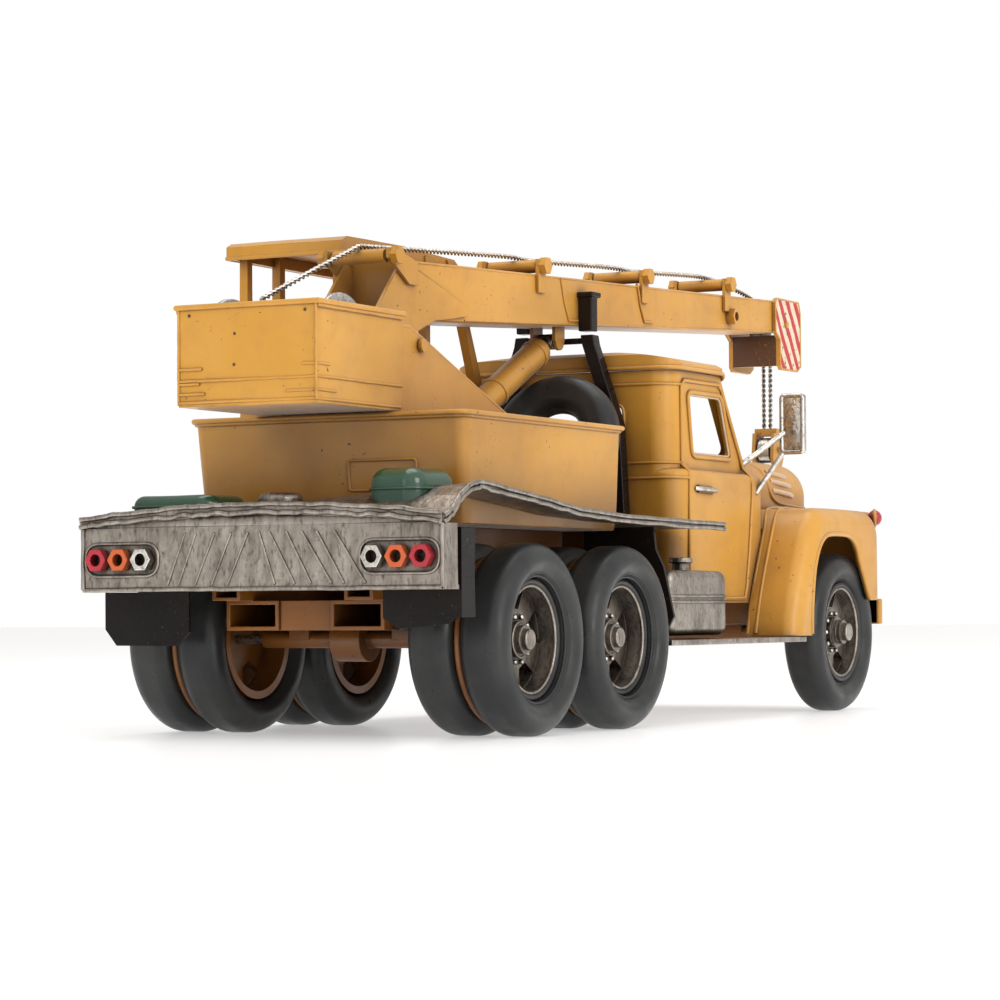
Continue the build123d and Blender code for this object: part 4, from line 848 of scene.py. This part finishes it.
# locker lids, tub rim and hatch, counterweight box
LOCKERS = ((76.6, ((-56.1, 21.4), (-30.9, 21.4), (-30.9, 54.8), (-56.1, 54.8))),
           (80.8, ((-54.1, -55.4), (-26.9, -55.4), (-26.9, -35.4), (-54.1, -35.4))))
locker_lines = [[at(x, y, seam) for x, y in rounded(corners, 6)] for seam, corners in LOCKERS]
tubes("locker_seams", locker_lines, 0.5, BODY, "green_paint", closed=True)
TUB_RIM = rounded(((-19.6, -53.7), (102.2, -53.7), (102.2, 53.7), (-19.6, 53.7)), 4)
tubes("tub_rim", [[at(x, y, 106.9) for x, y in TUB_RIM]], 0.95, BODY, "yellow_paint", closed=True)
TUB_HATCH = rounded(((8, 82), (34, 82), (34, 92), (8, 92)), 1.0, 2)
tubes("tub_hatch", [[at(-19.0 + (107.4 - z) * 0.1, -y, z) for y, z in TUB_HATCH]], 0.55, BODY, "yellow_paint",
      closed=True)

BOX = "superstructure"
BOX_BACK = -68.05
BOX_SIDE = 26.2
BOX_RIM = ((-68.3, -26.9), (-12.4, -26.9), (-12.4, 26.9), (-68.3, 26.9))
tubes("box_rim", [[at(x, y, 140.7) for x, y in BOX_RIM]], 0.95, BOX, "yellow_paint", closed=True)
ribs = [chain([(-13, -BOX_SIDE, z), (-68, -BOX_SIDE, z)], 0.1, 0.08, 31, 12) for z in (116.6,)]
ribs += [chain([(BOX_BACK, -26, z), (BOX_BACK, -26 + reach, z)], 0.08, 0.05, 32, 4)
         for z, reach in ((120.8, 5), (112.3, 11), (109.6, 52))]
ribs += [chain([(BOX_BACK, 26, z), (BOX_BACK, 26 - reach, z)], 0.08, 0.05, 33, 4)
         for z, reach in ((120.4, 9), (115.6, 8), (112.3, 10))]
ribs += [chain([(BOX_BACK, -26, 116.6), (BOX_BACK, 26, 116.6)], 0.1, 0.04, 34, 14)]
ribs += [chain([(-68, -BOX_SIDE, z), (-68 + reach, -BOX_SIDE, z)], 0.08, 0.05, 35, 4)
         for z, reach in ((120.8, 8), (112.3, 12), (109.4, 54))]
ribs += [chain([(-13, BOX_SIDE, z), (-68, BOX_SIDE, z)], 0.1, 0.08, 36, 12) for z in (116.6, 109.4)]
ribs += [chain([(-68, hand * 26.1, 109), (-68, hand * 26.1, 140)], 0.05, 0.08, 37, 10) for hand in (-1, 1)]
tubes("box_ribs", ribs, 0.5, BOX, "yellow_paint")
domes("box_rivets", [at(-68.0, 4.5, 131.5), at(-68.0, 4.8, 121.5), at(-68.0, -22, 138), at(-68.0, 22, 138)],
      0.55, 0.35, (-1, 0, 0), BOX, "yellow_paint", RUST_AND_SHADE)
CHEEK = ((-12.4, 136.8), (-6.6, 136.9), (44.6, 117.7), (69.6, 108.6))
tubes("cheek_edges", on_sides(CHEEK, 25.2), 0.85, BOX, "yellow_paint")
ROOF = ((15.8, 13.8), (100.6, 13.8), (100.6, 61.2), (15.8, 61.2))
tubes("canopy_hem", [[at(x, y, 166.9) for x, y in ROOF]], 0.75, BOX, "yellow_paint", closed=True)

# ---------------------------------------------------------------- boom fittings
DOUBLERS = (((136.5, 167.0), (139.5, 158), (143, 151.6), (150.6, 152.0)),
            ((204, 171.0), (207, 162), (210.4, 156.2), (218, 156.6)))
doubler_lines = [line for shape in DOUBLERS for line in on_sides(shape, 10.6)]
tubes("boom_doublers", doubler_lines, 0.6, "boom", "yellow_paint")
SEAMS = (((17.5, 162.2), (341, 175.4)), ((60, 145.0), (341, 162.3)))
seam_lines = [line for seam in SEAMS for line in on_sides(seam, 10.3)]
tubes("boom_seams", seam_lines, 0.45, "boom", "yellow_paint")


def skin(name, outline, y, thickness, body, slot, material):
    """A thin painted skin over a side plate, drawn in x and z at a distance from the middle."""
    bm = bmesh.new()
    for hand in (-1, 1):
        faces = []
        for depth in (0, thickness):
            faces.append([bm.verts.new(at(x, hand * (y + depth), z)) for x, z in outline])
        count = len(outline)
        bm.faces.new(faces[1])
        bm.faces.new(list(reversed(faces[0])))
        for i in range(count):
            bm.faces.new((faces[0][i], faces[0][(i + 1) % count], faces[1][(i + 1) % count], faces[1][i]))
    bmesh.ops.recalc_face_normals(bm, faces=bm.faces)
    refine(bm, 4 * MM, 4)
    mesh = bpy.data.meshes.new(name)
    bm.to_mesh(mesh)
    bm.free()
    shade(mesh, 40)
    return link(name, mesh, body, slot, material)


HEAD_SIDE = 11.9
HEAD = ((341.9, 175.1), (343.2, 176.8), (367.8, 176.8), (369.7, 172.4), (369.7, 148.6), (365.8, 146.3),
        (348.2, 146.3), (346.8, 147.8), (346.8, 159.2), (341.9, 162.3))
skin("head_stripes", HEAD, HEAD_SIDE, 0.12, "boom", "red_paint", STRIPES)
# Painted shade: a dark rust sheet over the back of the head plate, which is rusty and lies in shade.
panel("head_back", at(346.3, 10.2, 147.7), Vector((0, -20.4 * MM, 0)), Vector((0, 0, 13.4 * MM)), 0.3,
      "boom", "black_paint", RUST_AND_SHADE)
tubes("head_edges", on_sides(HEAD, HEAD_SIDE), 0.5, "boom", "yellow_paint", closed=True)

# ---------------------------------------------------------------- floor
floor_mesh = bpy.data.meshes.new("floor")
bm = bmesh.new()
bmesh.ops.create_grid(bm, x_segments=2, y_segments=2, size=6)
bm.to_mesh(floor_mesh)
bm.free()
floor = bpy.data.objects.new("floor", floor_mesh)
bpy.context.collection.objects.link(floor)
floor_look = Look("floor_white", 0.22)
floor_look.shader.inputs["Specular IOR Level"].default_value = 0.35
floor_look.shader.inputs["Emission Color"].default_value = (1, 1, 1, 1)
floor_look.shader.inputs["Emission Strength"].default_value = 0.36
floor_look.colour(floor_look.blend(floor_look.noise(3, 2), (0.93, 0.93, 0.93), (0.96, 0.96, 0.96)))
floor_mesh.materials.append(floor_look.material)
